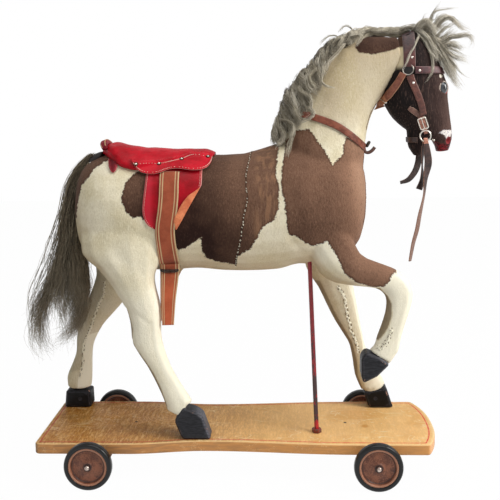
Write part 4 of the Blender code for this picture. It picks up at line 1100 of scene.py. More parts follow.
# The forelock: guides of (x, y, z) mm above the deck, with strands, root and tip spread, curl and turns
forelockLocks = [
    ([(308, 6, 650), (316, 6, 658), (324, 5, 674), (330, 4, 684), (338, 2, 696)], 16, 1.4, 1.4, 0, 0),
    ([(310, 2, 650), (321, 0, 661), (328, -2, 680), (344, -4, 684), (360, -6, 685), (372, -8, 686)], 11, 1.2,
     1.2, 0, 0),
    ([(310, 8, 650), (323, 9, 651), (337, 10, 669), (347, 12, 675), (356, 14, 671), (364, 16, 666),
      (367, 16, 657)],
     52, 2.2, 2.0, 0.8, 2),
    ([(308, 0, 650), (324, -3, 649), (341, -6, 667), (352, -8, 671), (360, -10, 662), (370, -12, 653),
      (380, -13, 650), (384, -13, 644)], 60, 2.4, 2.2, 1.0, 2),
    ([(308, 12, 650), (326, 14, 645), (339, 17, 656), (349, 20, 661), (357, 22, 670)], 32, 2.2, 1.8,
     0.6, 1.5),
    ([(308, -3, 650), (329, -6, 640), (342, -10, 652), (355, -13, 658), (361, -14, 666)], 36, 2.2, 1.8,
     0.6, 1.5),
    ([(308, 6, 650), (332, 6, 636), (347, 8, 642), (357, 9, 650), (366, 10, 659)], 34, 2.2, 1.8, 0.6, 1.5),
    ([(308, 16, 649), (333, 20, 634), (350, 24, 640), (361, 26, 644), (371, 28, 650), (375, 28, 656)], 36,
     2.2, 1.8, 0.8, 2),
    ([(308, -6, 649), (334, -10, 631), (350, -14, 638), (362, -17, 640), (374, -19, 642), (382, -20, 638),
      (385, -20, 630), (380, -19, 620)], 60, 2.4, 2.4, 1.0, 2),
    ([(308, 10, 649), (335, 13, 628), (353, 17, 632), (368, 20, 631), (376, 22, 625), (378, 22, 617)], 54,
     2.4, 2.4, 1.0, 2),
    ([(308, 0, 649), (336, -2, 624), (354, -5, 626), (365, -7, 621), (373, -8, 623), (381, -9, 619)], 46, 2.4,
     2.4, 1.0, 2),
    ([(308, -4, 649), (324, -8, 640), (342, -12, 622), (358, -15, 609), (371, -16, 603), (381, -17, 595)], 64,
     2.6, 2.8, 1.2, 2),
    ([(308, 12, 649), (324, 14, 638), (339, 18, 617), (353, 20, 601), (365, 22, 590), (374, 22, 590)], 64,
     2.6, 2.8, 1.2, 2),
    ([(308, -2, 649), (321, -7, 645), (332, -11, 622), (342, -14, 601), (352, -16, 580), (370, -18, 557)],
     120, 3.2, 3.8, 1.2, 1.5),
    ([(308, 6, 649), (325, 5, 647), (339, 4, 628), (351, 2, 609), (360, 0, 590), (362, -1, 573)], 120, 3.2,
     3.8, 1.2, 1.5),
    ([(306, 14, 648), (320, 18, 640), (329, 21, 618), (337, 23, 603), (346, 24, 586), (354, 25, 574)], 110,
     3.4, 4.0, 1.2, 1.5),
    ([(320, -6, 640), (338, -10, 616), (355, -13, 599), (371, -15, 581), (386, -16, 572)], 14, 1.2,
     1.0, 0.6, 1),
    ([(324, 4, 640), (340, 4, 630), (355, 4, 623), (371, 3, 614), (388, 2, 605)], 12, 1.2, 1.0, 0.6, 1),
    ([(307, -8, 645), (301, -14, 640), (295, -20, 629), (287, -25, 614), (281, -28, 601), (276, -29, 591),
      (276, -29, 586)],
     26, 0.9, 0.8, 0.6, 1),
    ([(313, -8, 645), (316, -17, 626), (321, -21, 607), (322, -23, 593), (318, -25, 579), (305, -27, 563)],
     34, 1.1, 1.0, 1.0, 1),
    ([(297, -6, 651), (305, -9, 661), (314, -11, 664), (322, -12, 657), (329, -13, 644)], 90, 3.4, 3.4,
     1.2, 1.5),
    ([(299, 6, 645), (307, 7, 656), (316, 8, 658), (322, 8, 647), (330, 8, 630)], 100, 3.6, 3.6, 1.2, 1.5),
    ([(297, 16, 648), (306, 20, 656), (315, 23, 652), (322, 25, 640), (326, 26, 622)], 80, 3.2, 3.4,
     1.2, 1.5),
    ([(303, -8, 648), (313, -14, 636), (322, -17, 620), (330, -18, 604)], 110, 3.6, 4.2, 0.8, 1.5),
    ([(303, 4, 648), (315, 2, 638), (327, 1, 620), (336, 0, 604)], 130, 4.2, 4.4, 0.8, 1.5),
    ([(303, 14, 648), (312, 19, 634), (321, 23, 616), (328, 25, 600)], 90, 3.8, 4.2, 0.8, 1.5),
    ([(314, -10, 630), (319, -19, 616), (325, -21, 609), (329, -22, 603), (333, -22, 599)], 36, 1.8, 2.0,
     0.8, 1.5),
    ([(306, 4, 652), (312, 3, 658), (310, 2, 667), (313, 1, 674), (318, 0, 679)], 8, 0.6, 0.8, 0, 0),
    ([(310, 6, 652), (318, 5, 661), (324, 5, 668), (329, 4, 668), (334, 4, 672), (340, 3, 681)], 8, 0.6,
     0.8, 0, 0),
    ([(276, 2, 653), (286, 0, 656), (297, -2, 656), (307, -3, 652), (314, -4, 644)], 70, 3.0, 3.0, 1.0, 1.5),
]


# Strands along each lock's guide; their tones spread round the lock's own
def makeForelock(locks):
    random = np.random.default_rng(11)
    steps, paths, tones = 13, [], []
    for guide, count, root, tip, curl, turns in locks:
        paths.append(lockPaths(random, guide, count, steps, root, tip, 1.2, curl, turns, 0.66))
        tones.append(np.clip(random.normal(random.uniform(0.38, 0.66), 0.24, count), 0, 1))
    paths, tones = onDeck(np.concatenate(paths)), np.concatenate(tones)
    radii = strandRadii(random, len(paths), steps, 0.38)
    return hairs("forelockHair", paths, radii, (0.2, 1, 0.1), tones)


maneLook = hairFinish("maneHair", "5f584a", "a79d87", "ded6c4", 0.6)
forelockPiece = makeForelock(forelockLocks)
placed(forelockPiece, "hair", "forelock", finish=hairFinish("forelockHair", "6e6658", "aea592",
                                                            "e6dfd0", 0.6))
print("forelock made: %d faces" % len(forelockPiece.data.polygons))

# The mane: its outline above the crest and the line that its near locks reach
mane = {
    "top": [(67, 486), (71, 506), (80, 527), (83, 541), (88, 557), (101, 573), (117, 590), (138, 611),
            (148, 624), (168, 638), (184, 646), (201, 653), (218, 656), (235, 656), (252, 656), (274, 655),
            (290, 652)],
    "low": [(80, 470), (98, 488), (108, 503), (124, 516), (129, 536), (134, 553), (145, 560), (150, 578),
            (156, 598), (171, 615), (185, 625), (197, 623), (208, 634), (224, 645), (247, 644), (272, 640),
            (290, 638)],
    "farLow": [(88, 486), (112, 510), (132, 540), (150, 566), (164, 594), (180, 610), (200, 622), (232, 640),
               (272, 644), (290, 642)],
    "stations": 70, "clumps": 150, "strands": 20, "steps": 16,
    # Loose locks: (x, y, z) guides, how many, spread
    "fringe": [
        ([(202, 4, 650), (198, 3, 654), (189, 2, 661), (179, 1, 657), (173, 0, 647)], 9, 0.5),
        ([(177, 4, 641), (170, 2, 646), (158, 1, 644), (148, 0, 636), (144, -1, 631)], 10, 0.5),
        ([(139, -26, 592), (127, -30, 580), (130, -34, 567), (140, -36, 556)], 24, 1.6),
        ([(120, -26, 580), (122, -32, 568), (127, -35, 560), (133, -37, 552)], 22, 1.5),
        ([(111, -24, 564), (114, -32, 555), (127, -36, 548), (129, -40, 539)], 24, 1.6),
        ([(99, -24, 539), (104, -34, 527), (101, -40, 515)], 26, 1.8),
        ([(119, -30, 552), (129, -36, 539), (127, -41, 528), (131, -44, 519), (121, -46, 511),
          (107, -46, 508)], 30, 1.5),
        ([(80, -20, 512), (93, -30, 508), (101, -38, 502), (100, -44, 490), (92, -48, 482)], 34, 1.8),
        ([(71, -10, 498), (80, -20, 499), (85, -30, 488), (81, -36, 471)], 34, 1.8),
        ([(84, -16, 500), (84, -30, 482), (76, -36, 471), (74, -38, 466)], 34, 1.8),
        ([(76, 0, 506), (69, -4, 492), (68, -8, 478), (73, -14, 466)], 36, 2.0),
        ([(152, -28, 601), (149, -32, 589), (146, -37, 570), (160, -40, 561), (174, -42, 558)], 22, 1.2),
        ([(192, -14, 641), (205, -18, 644), (210, -22, 638), (197, -28, 625)], 26, 1.5),
        ([(183, -22, 630), (171, -28, 616), (158, -33, 603), (152, -36, 589)], 26, 1.6),
        ([(100, -36, 497), (96, -46, 480), (92, -52, 464), (90, -56, 452)], 26, 1.8),
    ],
}


# The mane's top line, its low line on each side, and the hide's smoothed depth along those
def maneLines(plan):
    count = plan["stations"]
    lines = {"top": evenly(smoothRows(plan["top"], 4), count)}
    trees = treeOf(hidePiece)
    for side, low, y in ((near, "low", "nearY"), (far, "farLow", "farY")):
        lines[side] = evenly(smoothRows(plan[low], 4), count)
        depth = fromSide(trees, lines[side], side)[0][:, 1] / mm + side * 1.0
        lines[y] = np.convolve(np.pad(depth, 4, "edge"), np.ones(9) / 9, "valid")
    return lines


# The mane's skin at s along it and a round it, bend = a pi / 2:
# x, z = top + (low - top)(1 - cos bend), y = low y * sin bend
def maneAt(lines, s, a, lift):
    stops = np.linspace(0, 1, len(lines["top"]))
    look = lambda column: np.interp(s, stops, column)
    side = np.where(a < 0, near, far)
    size = np.abs(a)
    low = [np.where(side == near, look(lines[near][:, k]), look(lines[far][:, k])) for k in (0, 1)]
    topX, topZ = look(lines["top"][:, 0]), look(lines["top"][:, 1])
    lowY = np.where(side == near, look(lines["nearY"]), look(lines["farY"]))
    bend = np.minimum(size, 1) * math.pi / 2
    share = 1 - np.cos(bend) + np.maximum(size - 1, 0) * 1.4
    middleY = 3.0
    x = topX + (low[0] - topX) * share
    z = topZ + (low[1] - topZ) * share
    y = middleY + (lowY - middleY) * np.sin(bend)
    outX, outZ = topX - low[0], topZ - low[1]
    length = np.maximum(np.hypot(outX, outZ), 1e-6)
    x = x + lift * np.cos(bend) * outX / length
    z = z + lift * np.cos(bend) * outZ / length
    y = y + lift * np.sin(bend) * side
    return np.stack((x, y, z), -1)


# A furrowed base, and clumps of strands that run down it from begin to reach, curling as they go
def makeMane(plan):
    lines = maneLines(plan)
    random = np.random.default_rng(5)
    rows, columns = 150, 64
    s = np.linspace(0, 1, rows)[:, None]
    a = np.linspace(-1.0, 1.0, columns)[None, :]
    wave = drift(random, (rows, columns), 4, 0)
    furrow = np.sin(s * 150 + 14 * a + 3 * wave) * 1.4 + np.sin(s * 67 - 8 * a) * 1.6 + wave * 0.9
    grid = maneAt(lines, s + 0 * a, a + 0 * s, -4.0 + furrow * (1 - 0.5 * smoothStep(s, 0.6, 0.78)))
    inner = grid[:, ::-1][:, 1:-1]
    neckLine = np.stack((grid[:, 0], grid[:, -1])).mean(0)[:, None, :]
    inner = inner[:, ::6] * 0.12 + neckLine * 0.88
    whole = onDeck(np.concatenate((grid, inner), 1))
    pale = 0.16 + 0.3 * smoothStep(s, 0.6, 0.78)
    base = skinPiece("maneBase", whole, values={
        "tone": np.broadcast_to(pale + 0.06 * np.sin(s * 90 + 9 * np.linspace(-1, 1, whole.shape[1])[None]),
                                whole.shape[:2]),
        "along": np.zeros(whole.shape[:2]),
    })
    steps, count, strands = plan["steps"], plan["clumps"], plan["strands"]
    t = np.linspace(0, 1, steps)[None, None, :]
    # One random number for each clump, or for each strand
    clump = lambda low, high: random.uniform(low, high, (count, 1, 1))
    strand = lambda spread: random.normal(size=(count, strands, 1)) * spread
    start = ((np.arange(count) + random.uniform(-0.4, 0.4, count)) / count)[:, None, None]
    side = np.where(clump(0, 1) < 0.64, near, far)
    top01 = smoothStep(start, 0.6, 0.78)
    reach = clump(0.82, 1.18) * (1 - 0.3 * top01)
    slide = clump(0.04, 0.12) * t
    begin = clump(-0.15, 0.5)
    s1 = start + strand(0.007) - slide + 0.007 * np.sin(t * clump(5, 14) + clump(0, 6))
    a1 = side * (begin + (reach - begin) * t ** 0.85
                 * random.uniform(0.86, 1.06, (count, strands, 1))) + strand(0.03)
    bulk = clump(-1.0, 5.0) * (1 - 0.6 * top01) * np.sin(np.clip(t * 1.1, 0, 1) * math.pi) + strand(1.3)
    path = maneAt(lines, np.clip(s1, 0, 1), a1, bulk)
    turn = clump(1.6, 3.8) * fullTurn * t + clump(0, 6.28) + strand(0.3)
    curl = clump(0.8, 4.4) * (1 - 0.6 * top01) * t ** 1.2
    path = path + np.stack((curl * np.cos(turn), 0.5 * curl * np.sin(turn), curl * 0.7 * np.sin(turn)), -1)
    path = path.reshape(-1, steps, 3) + drift(random, (count * strands, steps, 3), 2,
                                              1) * 0.9 * t[0][..., None]
    onNear = np.repeat(side.ravel() == near, strands)
    tones = np.repeat(random.normal(0.5, 0.24, count), strands) + random.normal(size=count * strands) * 0.2
    tones = tones + np.repeat(0.3 * top01.ravel(), strands)
    loose = [lockPaths(random, guide, amount, steps, spread, spread * 1.3, 0.9, 1.1, 1.5, 0.75)
             for guide, amount, spread in plan["fringe"]]
    looseTones = np.concatenate([random.normal(random.uniform(0.35, 0.8), 0.2, len(part)) for part in loose])
    made = []
    for name, chosen, extra in (("maneNear", onNear, loose), ("maneFar", ~onNear, [])):
        chosenPaths = onDeck(np.concatenate([path[chosen]] + extra))
        chosenTones = np.clip(np.concatenate((tones[chosen], looseTones if extra else [])), 0, 1)
        radii = strandRadii(random, len(chosenPaths), steps, 0.38)
        made.append(hairs(name, chosenPaths, radii, (0.3, 1, 0.2), chosenTones))
    return base, made


maneBase, maneHair = makeMane(mane)
for piece in (maneBase, *maneHair):
    placed(piece, "hair", "mane", finish=maneLook)
print("mane made: " + ", ".join("%d faces" % len(piece.data.polygons) for piece in maneHair))

# The tail: guides of (x, z) mm, each hung at a few depths
tailLocks = [
    ([(-230, 457), (-254, 435), (-269, 403), (-279, 358), (-288, 310), (-297, 268), (-310, 232), (-324, 202),
      (-328, 176), (-322, 150)], 0.5, 7),
    ([(-230, 455), (-251, 429), (-265, 386), (-274, 340), (-281, 290), (-287, 255), (-297, 225), (-313, 198),
      (-326, 180)],
     1.25, 7),
    ([(-229, 452), (-249, 420), (-260, 374), (-267, 320), (-270, 270), (-274, 232), (-281, 198), (-289, 164)],
     1.15, 7),
    ([(-228, 450), (-248, 414), (-258, 362), (-262, 305), (-262, 258), (-260, 222), (-264, 190), (-271, 158)],
     1.25, 7),
    ([(-228, 448), (-246, 412), (-255, 360), (-259, 310), (-258, 268), (-255, 238), (-256, 210), (-262, 186),
      (-268, 168)],
     1.1, 5),
    ([(-228, 448), (-247, 408), (-256, 350), (-258, 300), (-256, 262), (-254, 232), (-259, 205), (-264, 176),
      (-272, 138)],
     0.35, 5),
    ([(-254, 330), (-256, 270), (-256, 220), (-262, 184), (-272, 164), (-288, 150), (-308, 136)], 0.8, 6),
    ([(-284, 320), (-298, 268), (-316, 226), (-331, 196), (-336, 160), (-330, 130), (-316, 114)], 0.6, 9),
    ([(-231, 457), (-260, 430), (-278, 392), (-291, 340), (-308, 290), (-328, 245), (-341, 204), (-338, 160),
      (-328, 124)],
     0.14, 9),
    ([(-230, 455), (-252, 425), (-266, 380), (-277, 330), (-284, 280), (-290, 240), (-288, 205), (-280, 166),
      (-284, 130)],
     0.5, 12),
    ([(-230, 455), (-252, 425), (-266, 380), (-279, 330), (-288, 280), (-300, 240), (-320, 212), (-338, 190),
      (-350, 176)],
     0.14, 9),
]


# Each lock hangs at four depths, which draw together at the root
def makeTail(locks):
    random = np.random.default_rng(23)
    steps, paths, tones = 19, [], []
    for line, weight, spread in locks:
        line = np.array(line, float)
        for depth in (-17, -6, 5, 16):
            wide = 0.35 + 0.65 * smoothStep(np.linspace(0, 1, len(line)), 0, 0.4)
            y = horseMiddle - 2 + depth * wide
            guide = np.stack((line[:, 0], y, line[:, 1]), -1)
            count = int(weight * 70)
            paths.append(lockPaths(random, guide, count, steps, 3.4, spread, 4.6, 3.0,
                                   random.uniform(3, 5.5), 0.72))
            tones.append(np.clip(random.normal(random.uniform(0.35, 0.6), 0.26, count), 0, 1))
    paths, tones = onDeck(np.concatenate(paths)), np.concatenate(tones)
    radii = strandRadii(random, len(paths), steps, 0.34)
    return hairs("tailHair", paths, radii, (0.1, 1, 0.05), tones)


tailPiece = makeTail(tailLocks)
tailLook = hairFinish("tailHair", "37301f", "6d604b", "ab9f88", 0.6, 0.5)
placed(tailPiece, "tail_hair", "tail", finish=tailLook)
print("tail made: %d faces" % len(tailPiece.data.polygons))

# Tack

# A node's middle and its long, wide and thin axes: the directions in which its points spread most to least
def planeOf(name):
    points = np.unique(meshArrays(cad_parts[name].data)[0].round(6), axis=0)
    middle = points.mean(0)
    _, _, axes = np.linalg.svd(points - middle, full_matrices=False)
    return middle, axes


# The vector or its opposite, whichever points nearer to the aim
def towards(vector, aim):
    return vector if np.dot(vector, aim) > 0 else -vector


# Two edge lines round a form: rays at angles about the axis find its reach, half the width to each side
def loopRails(trees, plan, closed=False, soften=3):
    axis = unit(plan["axis"])
    first = np.asarray(plan["start"], float)
    first = unit(first - axis * np.dot(first, axis))
    second = np.cross(axis, first)
    count = plan.get("count", 72)
    turn = np.radians(plan["sweep"] * np.arange(count) / (count if closed else count - 1)
                      + plan.get("turn", 0))
    out = np.cos(turn)[:, None] * first + np.sin(turn)[:, None] * second
    slant = plan["slant"](out) if "slant" in plan else np.zeros(count)
    edges = []
    for share in (-0.5, 0.5):
        base = onDeck(plan["centre"]) + axis * ((share * plan["width"] + slant) * mm)[:, None]
        places, _ = castTo(trees, base + out * plan.get("far", 0.12), -out)
        reach = ((filled(places) - base) * out).sum(-1)
        for step in range(soften):
            around = np.pad(reach, 1, "wrap" if closed else "edge")
            mean = (around[:-2] + 2 * reach + around[2:]) / 4
            reach = np.maximum(reach, mean) if step == 0 else mean
        edges.append(base + out * (reach + plan["lift"] * mm)[:, None])
    return edges[0], edges[1], out


# A strap on one side of a body, through (x, z) points in mm: its edges are cast onto the surfaces
def sideRails(trees, rows, side, width, lift, steps=10):
    rows = smoothRows(rows, steps)
    along = unit(np.gradient(rows, axis=0))
    square = np.stack((-along[:, 1], along[:, 0]), -1)
    width = np.broadcast_to(np.asarray(width, float), (2,))
    half = np.interp(np.linspace(0, 1, len(rows)), (0, 1), width)[:, None] / 2
    edges, up = [], None
    for sign in (-1, 1):
        places, normals = fromSide(trees, rows + square * half * sign, side)
        for _ in range(3):
            places[1:-1, 1] = (places[:-2, 1] + 2 * places[1:-1, 1] + places[2:, 1]) / 4
        up = normals if up is None else up + normals
        edges.append(places)
    up = unit(up)
    up = up * np.sign(up[:, 1] * side)[:, None]
    return edges[0] + up * lift * mm, edges[1] + up * lift * mm, up


# Dyed leather: darker and lighter clouds, a fine grain, worn scuffs, and a paler cut edge where uv is there
def leather(name, dark, light, edge, rough=0.48, coat=0.12, uv=True, scuff=0.3, fades=()):
    finish = Finish(name, coat=coat, coatRough=0.4, specular=0.4)
    flow = finish.flow
    cloud = grain(flow, 0.012, 3)
    pores = grain(flow, 0.0011, 4)
    creases = grain(flow, 0.0035, 4, (1.5, 0.8, 0.8))
    colour = blended(dark, light, ramp(cloud * 0.6 + creases * 0.4, 0.38, 0.62))
    # Along the strap it changes towards other colours: (colour, from, to) in metres
    for later, begin, end in fades:
        run = coordinate(flow, 1, "UV")
        colour = blended(colour, blended(later, light, (creases - 0.35) * 1.2),
                         ramp(run + (cloud - 0.5) * 0.02, begin, end))
    colour = blended(colour, edge, ramp(creases * 0.5 + pores * 0.5, 0.54, 0.70) * scuff)
    worn = ramp(creases, 0.5, 0.75)
    if uv:
        across = coordinate(flow, 0, "UV")
        rim = ramp(abs(across - 0.5) + (pores - 0.5) * 0.03, 0.455, 0.492)
        colour = blended(colour, edge, rim * 0.75)
    finish.set(colour=colour, rough=rough + worn * 0.18)
    return finish.relief(pores * 0.00025 + creases * 0.0004, 0.7)


# Bare or plated metal with dull patches and small pits
def metalFinish(name, bright, dull, rough=0.28, amount=0.4):
    finish = Finish(name, metal=1.0)
    flow = finish.flow
    patches = ramp(grain(flow, 0.004, 4), 0.45, 0.68)
    pits = grain(flow, 0.0009, 3)
    finish.set(colour=blended(bright, dull, patches * amount + ramp(pits, 0.6, 0.75) * 0.25))
    finish.set(rough=rough + patches * 0.25)
    return finish.relief(pits * 0.0001, 0.6)


nickel = metalFinish("nickel", "e9e4da", "9b8f80", 0.24)
agedNickel = metalFinish("agedNickel", "b3aca2", "57504a", 0.3, 0.7)
darkIron = metalFinish("darkIron", "4a4440", "2a2422", 0.45, 0.8)
silverCap = metalFinish("capMetal", "cdbdb2", "6b5c55", 0.22, 0.7)

# A flat dome: rings of (share of radius, share of height)
domeRows = [(1.0, -0.35), (1.0, 0.1), (0.93, 0.42), (0.74, 0.74), (0.45, 0.94), (0.16, 1.0)]
eyeletRows = [(1.0, -0.3), (1.0, 0.35), (0.9, 0.7), (0.72, 0.62), (0.6, 0.25), (0.52, 0.05)]


# Small turned pieces on a surface, their axis along its normal
def domes(name, places, normals, radius, height, rows=domeRows, sides=20):
    normals = unit(normals)
    side = unit(np.cross(normals, (0.3, 0.1, 1.0)))
    axes = np.stack((side * radius * mm, np.cross(normals, side) * radius * mm, normals * height * mm), 1)
    return scattered(name, *ringShape(rows, sides), places, axes)


# The straps that go round the head, neck and chin: lengths in mm, angles in degrees
loops = {
    "crown_strap": {"centre": (285, 5, 602), "axis": (-1, 0, 0), "start": (0, -1, 0), "sweep": 216,
                    "width": 18.5,
                    "turn": -18},
    "brow_band": {"centre": (300, 5, 587), "axis": (0, 0, 1), "start": (-0.191, -0.982, 0), "sweep": 202,
                  "width": 11},
    "throat_latch": {"centre": (262, 5, 562), "axis": (0.803, 0, -0.596), "start": (0.350, -0.809, 0.472),
                     "sweep": 252, "width": 9.6},
    "chin_strap": {"centre": (305, 5, 476), "axis": (0, 0, -1), "start": (-0.208, -0.978, 0),
                   "sweep": 156, "width": 8.4},
    # The collar rises by up to 8 mm on the neck's two sides and drops at its front and back
    "collar_strap": {
        "centre": (162, 5, 495), "axis": (0.44, 0, 0.898), "start": (0, 1, 0), "sweep": 360, "width": 11.5,
        "slant": lambda out: (8 * np.abs(out[:, 1]) ** 1.5 - 5 * np.maximum(out[:, 0], 0) ** 2
                              - 2 * np.minimum(out[:, 0], 0) ** 2),
    },
}
strapGap = 0.45


# Straps round head, jaw or neck, each lying strapGap outside it
def makeLoops(plans):
    looks = {
        "crown_strap": leather("crownLeather", "4a2826", "6b3e38", "8d7b76", scuff=0.35,
                               fades=(("2a2022", 0.016, 0.034),)),
        "brow_band": leather("browLeather", "42272a", "63393a", "a58784", scuff=0.3),
        "throat_latch": leather("throatLeather", "673624", "874a32", "a9805f"),
        "chin_strap": leather("chinLeather", "2f1f1b", "51352c", "8a6c5c"),
        "collar_strap": leather("collarLeather", "64301f", "8c4e39", "3a1a12", 0.4, 0.1, scuff=0.1),
    }
    trees = {"head": treeOf(headPiece, hidePiece), "jaw": treeOf(headPiece), "neck": treeOf(hidePiece)}
    made = {}
    for name, plan in plans.items():
        closed = name == "collar_strap"
        over = {"crown_strap": 0.6, "brow_band": 0.3}.get(name, 0)
        castFrom = 0.05 if name == "throat_latch" else 0.12
        plan = {**plan, "lift": strapGap + leatherThickness / 2 + over, "far": castFrom}
        form = {"collar_strap": "neck", "chin_strap": "jaw"}.get(name, "head")
        left, right, up = loopRails(trees[form], plan, closed, 6)
        label = "".join(word if i == 0 else word.title() for i, word in enumerate(name.split("_")))
        strap = strapPiece(label, left, right, up, leatherThickness * mm, closed)
        made[name] = placed(strap, "strap", name, finish=looks[name])
    return made


loopPieces = makeLoops(loops)

# Cheek straps and the latch's buckled end: (x, z) routes in mm, and the buckle's parts as (wide, long, out)
cheek = {
    "route": [(285.5, 578.5), (290, 566), (298.5, 546), (304, 531), (308, 516)], "width": (11.5, 10),
    "bitRing": (8.6, 1.35), "templeRing": (8.4, 0.95), "buckle": (6.2, 9.2, 1.15),
    "prong": [(0, 8.8, 0.6), (0.3, 5, 1.6), (0.2, -2, 1.5), (0, -9.4, 1.3)],
    "billet": [(0.4, -11, -0.4), (0.4, -4, 0.1), (0.4, 4, 0.0), (0.6, 10, -0.6), (0.8, 14, -1.2),
               (0.9, 18.5, -1.4)],
    # The strap's loose end: (x, distance outside the buckle, z, width)
    "end": [(307, 0.6, 511, 9), (303, 1.5, 515, 9.2), (296, 3.2, 519.5, 9), (289, 5.2, 524, 8.4),
            (283.5, 7.5, 527.5, 6)],
    "rivets": [(288.8, 607), (300.5, 586)], "strapRivet": [(290.5, 566.5), (290.6, 566.0)],
    "latch": [(276, 582), (268, 567), (258, 551), (248.5, 539.5), (241, 531), (236, 525.5)],
    "latchWidth": (10.5, 9.5),
}


# origin + wide * a + long * b + out * c, for rows of (a, b) or (a, b, c)
def onAxes(origin, rows, *axes):
    return origin + sum(np.asarray(rows)[:, k, None] * axis for k, axis in enumerate(axes))


# On each side: cheek strap, bit ring, temple ring, buckle with prong and billet, loose end, rivets
def makeCheeks(plan):
    look = leather("cheekLeather", "4a2a24", "6e4136", "9c7263")
    ringShadowLook = leather("ringShadowLeather", "0d0a0a", "1d1716", "2b2321", uv=False)
    tabLook = leather("tabLeather", "8e5a4c", "c48a76", "d9b29c", 0.6, 0.0)
    endLook = leather("strapEndLeather", "4c322a", "6b4a3f", "c2a48e", 0.6, 0.05)
    trees = treeOf(headPiece, hidePiece)
    straps = treeOf(loopPieces["crown_strap"], loopPieces["brow_band"])
    for label, side in bothSides:
        middleHeight = strapGap + leatherThickness / 2
        left, right, up = sideRails(trees, plan["route"], side, plan["width"], middleHeight)
        strap = strapPiece(label + "CheekStrap", left, right, up, leatherThickness * mm)
        placed(strap, "strap", label + "_cheek_strap", finish=look)
        middle, _ = planeOf(label + "_bit_ring")
        radius, thin = plan["bitRing"]
        ring = onAxes(middle, circle(64) * radius * mm, (1, 0, 0), (0, 0, 1))
        placed(wire(label + "BitRing", ring, thin * mm, 12, True, (0, 1, 0)), "steel", label + "_bit_ring",
               finish=nickel)
        hub, hubAxes = planeOf(label + "_temple_ring")
        hubNormal = towards(hubAxes[2], (0, side, 0))
        across = unit(np.cross(hubNormal, (0, 0, 1.0)))
        radius, thin = plan["templeRing"]
        loop = onAxes(hub, circle(64) * radius * mm, across, np.cross(across, hubNormal))
        loop = wire(label + "TempleRing", loop, thin * mm, 12, True, hubNormal)
        placed(loop, "steel", label + "_temple_ring", finish=agedNickel)
        # A near-black dome in each temple ring: painted shadow in the ring's hole
        placed(domes(label + "TempleRingShadow", hub[None], hubNormal[None], 7.8, 0.25), "strap", finish=ringShadowLook)
        spot, frameAxes = planeOf(label + "_cheek_buckle")
        long, thin = towards(frameAxes[0], (4, 0, -12)), towards(frameAxes[2], (0, side, 0))
        wide = np.cross(long, thin)
        lift = spot + thin * 0.8 * mm
        halfWide, halfLong, radius = plan["buckle"]
        rim = onAxes(lift, rounded(circle(72), 0.2) * (halfWide, halfLong) * mm, wide, long)
        placed(wire(label + "BuckleRim", rim, radius * mm, 10, True, thin), "steel", label + "_cheek_buckle",
               finish=nickel)
        prong = smoothRows(onAxes(lift, np.array(plan["prong"]) * mm, wide, long, thin), 5)
        placed(wire(label + "BuckleProng", prong, 0.8 * mm, 8, guide=wide), "steel", finish=nickel)
        path = onAxes(lift, smoothRows(np.array(plan["billet"]) * mm, 6), wide, long, thin)
        size = np.interp(np.linspace(0, 1, len(path)), (0, 0.5, 0.72, 1),
                         (9.4, 9.0, 6.5, 5.4))[:, None] * mm / 2
        upward = np.broadcast_to(thin, path.shape)
        billet = strapPiece(label + "Billet", path - wide * size, path + wide * size, upward, 1.3 * mm)
        placed(billet, "strap", finish=tabLook)
        tipRows = smoothRows(plan["end"], 6)
        depth = spot[1] / mm + side * tipRows[:, 1]
        route = onDeck(np.stack((tipRows[:, 0], depth, tipRows[:, 2]), -1))
        along = unit(np.gradient(route, axis=0))
        broad = unit(np.cross(along, (0, 1.0, 0))) * tipRows[:, 3:] * mm / 2
        end = strapPiece(label + "StrapEnd", route - broad, route + broad, np.cross(along, broad), 1.5 * mm)
        placed(end, "strap", finish=endLook)
        topHeight = leatherThickness + strapGap + 0.2
        left, right, up = sideRails(trees, plan["strapRivet"], side, (2, 2), topHeight, 1)
        places, ups = [(left[0] + right[0]) / 2], [up[0]]
        for spot in plan["rivets"]:
            hit, normals = fromSide(straps, [spot], side)
            places.append(hit[0])
            ups.append(towards(normals[0], (0, side, 0)))
        placed(domes(label + "Rivets", places, ups, 2.1, 1.3), "steel", finish=nickel)
    lift = strapGap * 2 + leatherThickness * 1.5
    left, right, up = sideRails(trees, plan["latch"], near, plan["latchWidth"], lift)
    latchLook = leather("latchLeather", "6e3f30", "8c5440", "c79a76", 0.5, 0.05,
                        fades=(("b47c5c", 0.047, 0.051),))
    placed(strapPiece("latchEnd", left, right, up, leatherThickness * mm), "strap", finish=latchLook)
    at = int(len(left) * 0.58)
    a, b, n = left[at], right[at], unit(up[at])
    reach, run = (b - a), unit(left[at + 1] - left[at])
    t = turnOf(48)[:, None]
    keeper = (a + b) / 2 + reach * 0.58 * rounded(np.cos(t), 0.3) + n * 1.9 * mm * rounded(np.sin(t), 0.5)
    placed(wire("latchKeeper", keeper, 0.85 * mm, 8, True, run), "steel", finish=nickel)
    middle, _ = planeOf("bit_bar")
    low, high = cornersOf("bit_bar")
    y = np.array((low[1] - 0.0005, low[1] + 0.0015, low[1] + 0.006, middle[1], high[1] - 0.006,
                  high[1] + 0.0005))
    x = middle[0] + np.array((2.6, 1.4, 0, 0, 0, 0)) * mm
    z = middle[2] + np.array((-1.4, -0.8, 0, 0, 0, 0)) * mm
    bar = smoothRows(np.stack((x, y, z), -1), 8)
    step = np.arange(len(bar))
    swell = 1.45 + 0.35 * (bell(step, 0, 4) + bell(step, len(bar) - 1, 4))
    placed(wire("bitBar", bar, swell * mm, 12), "steel", "bit_bar", finish=nickel)


makeCheeks(cheek)

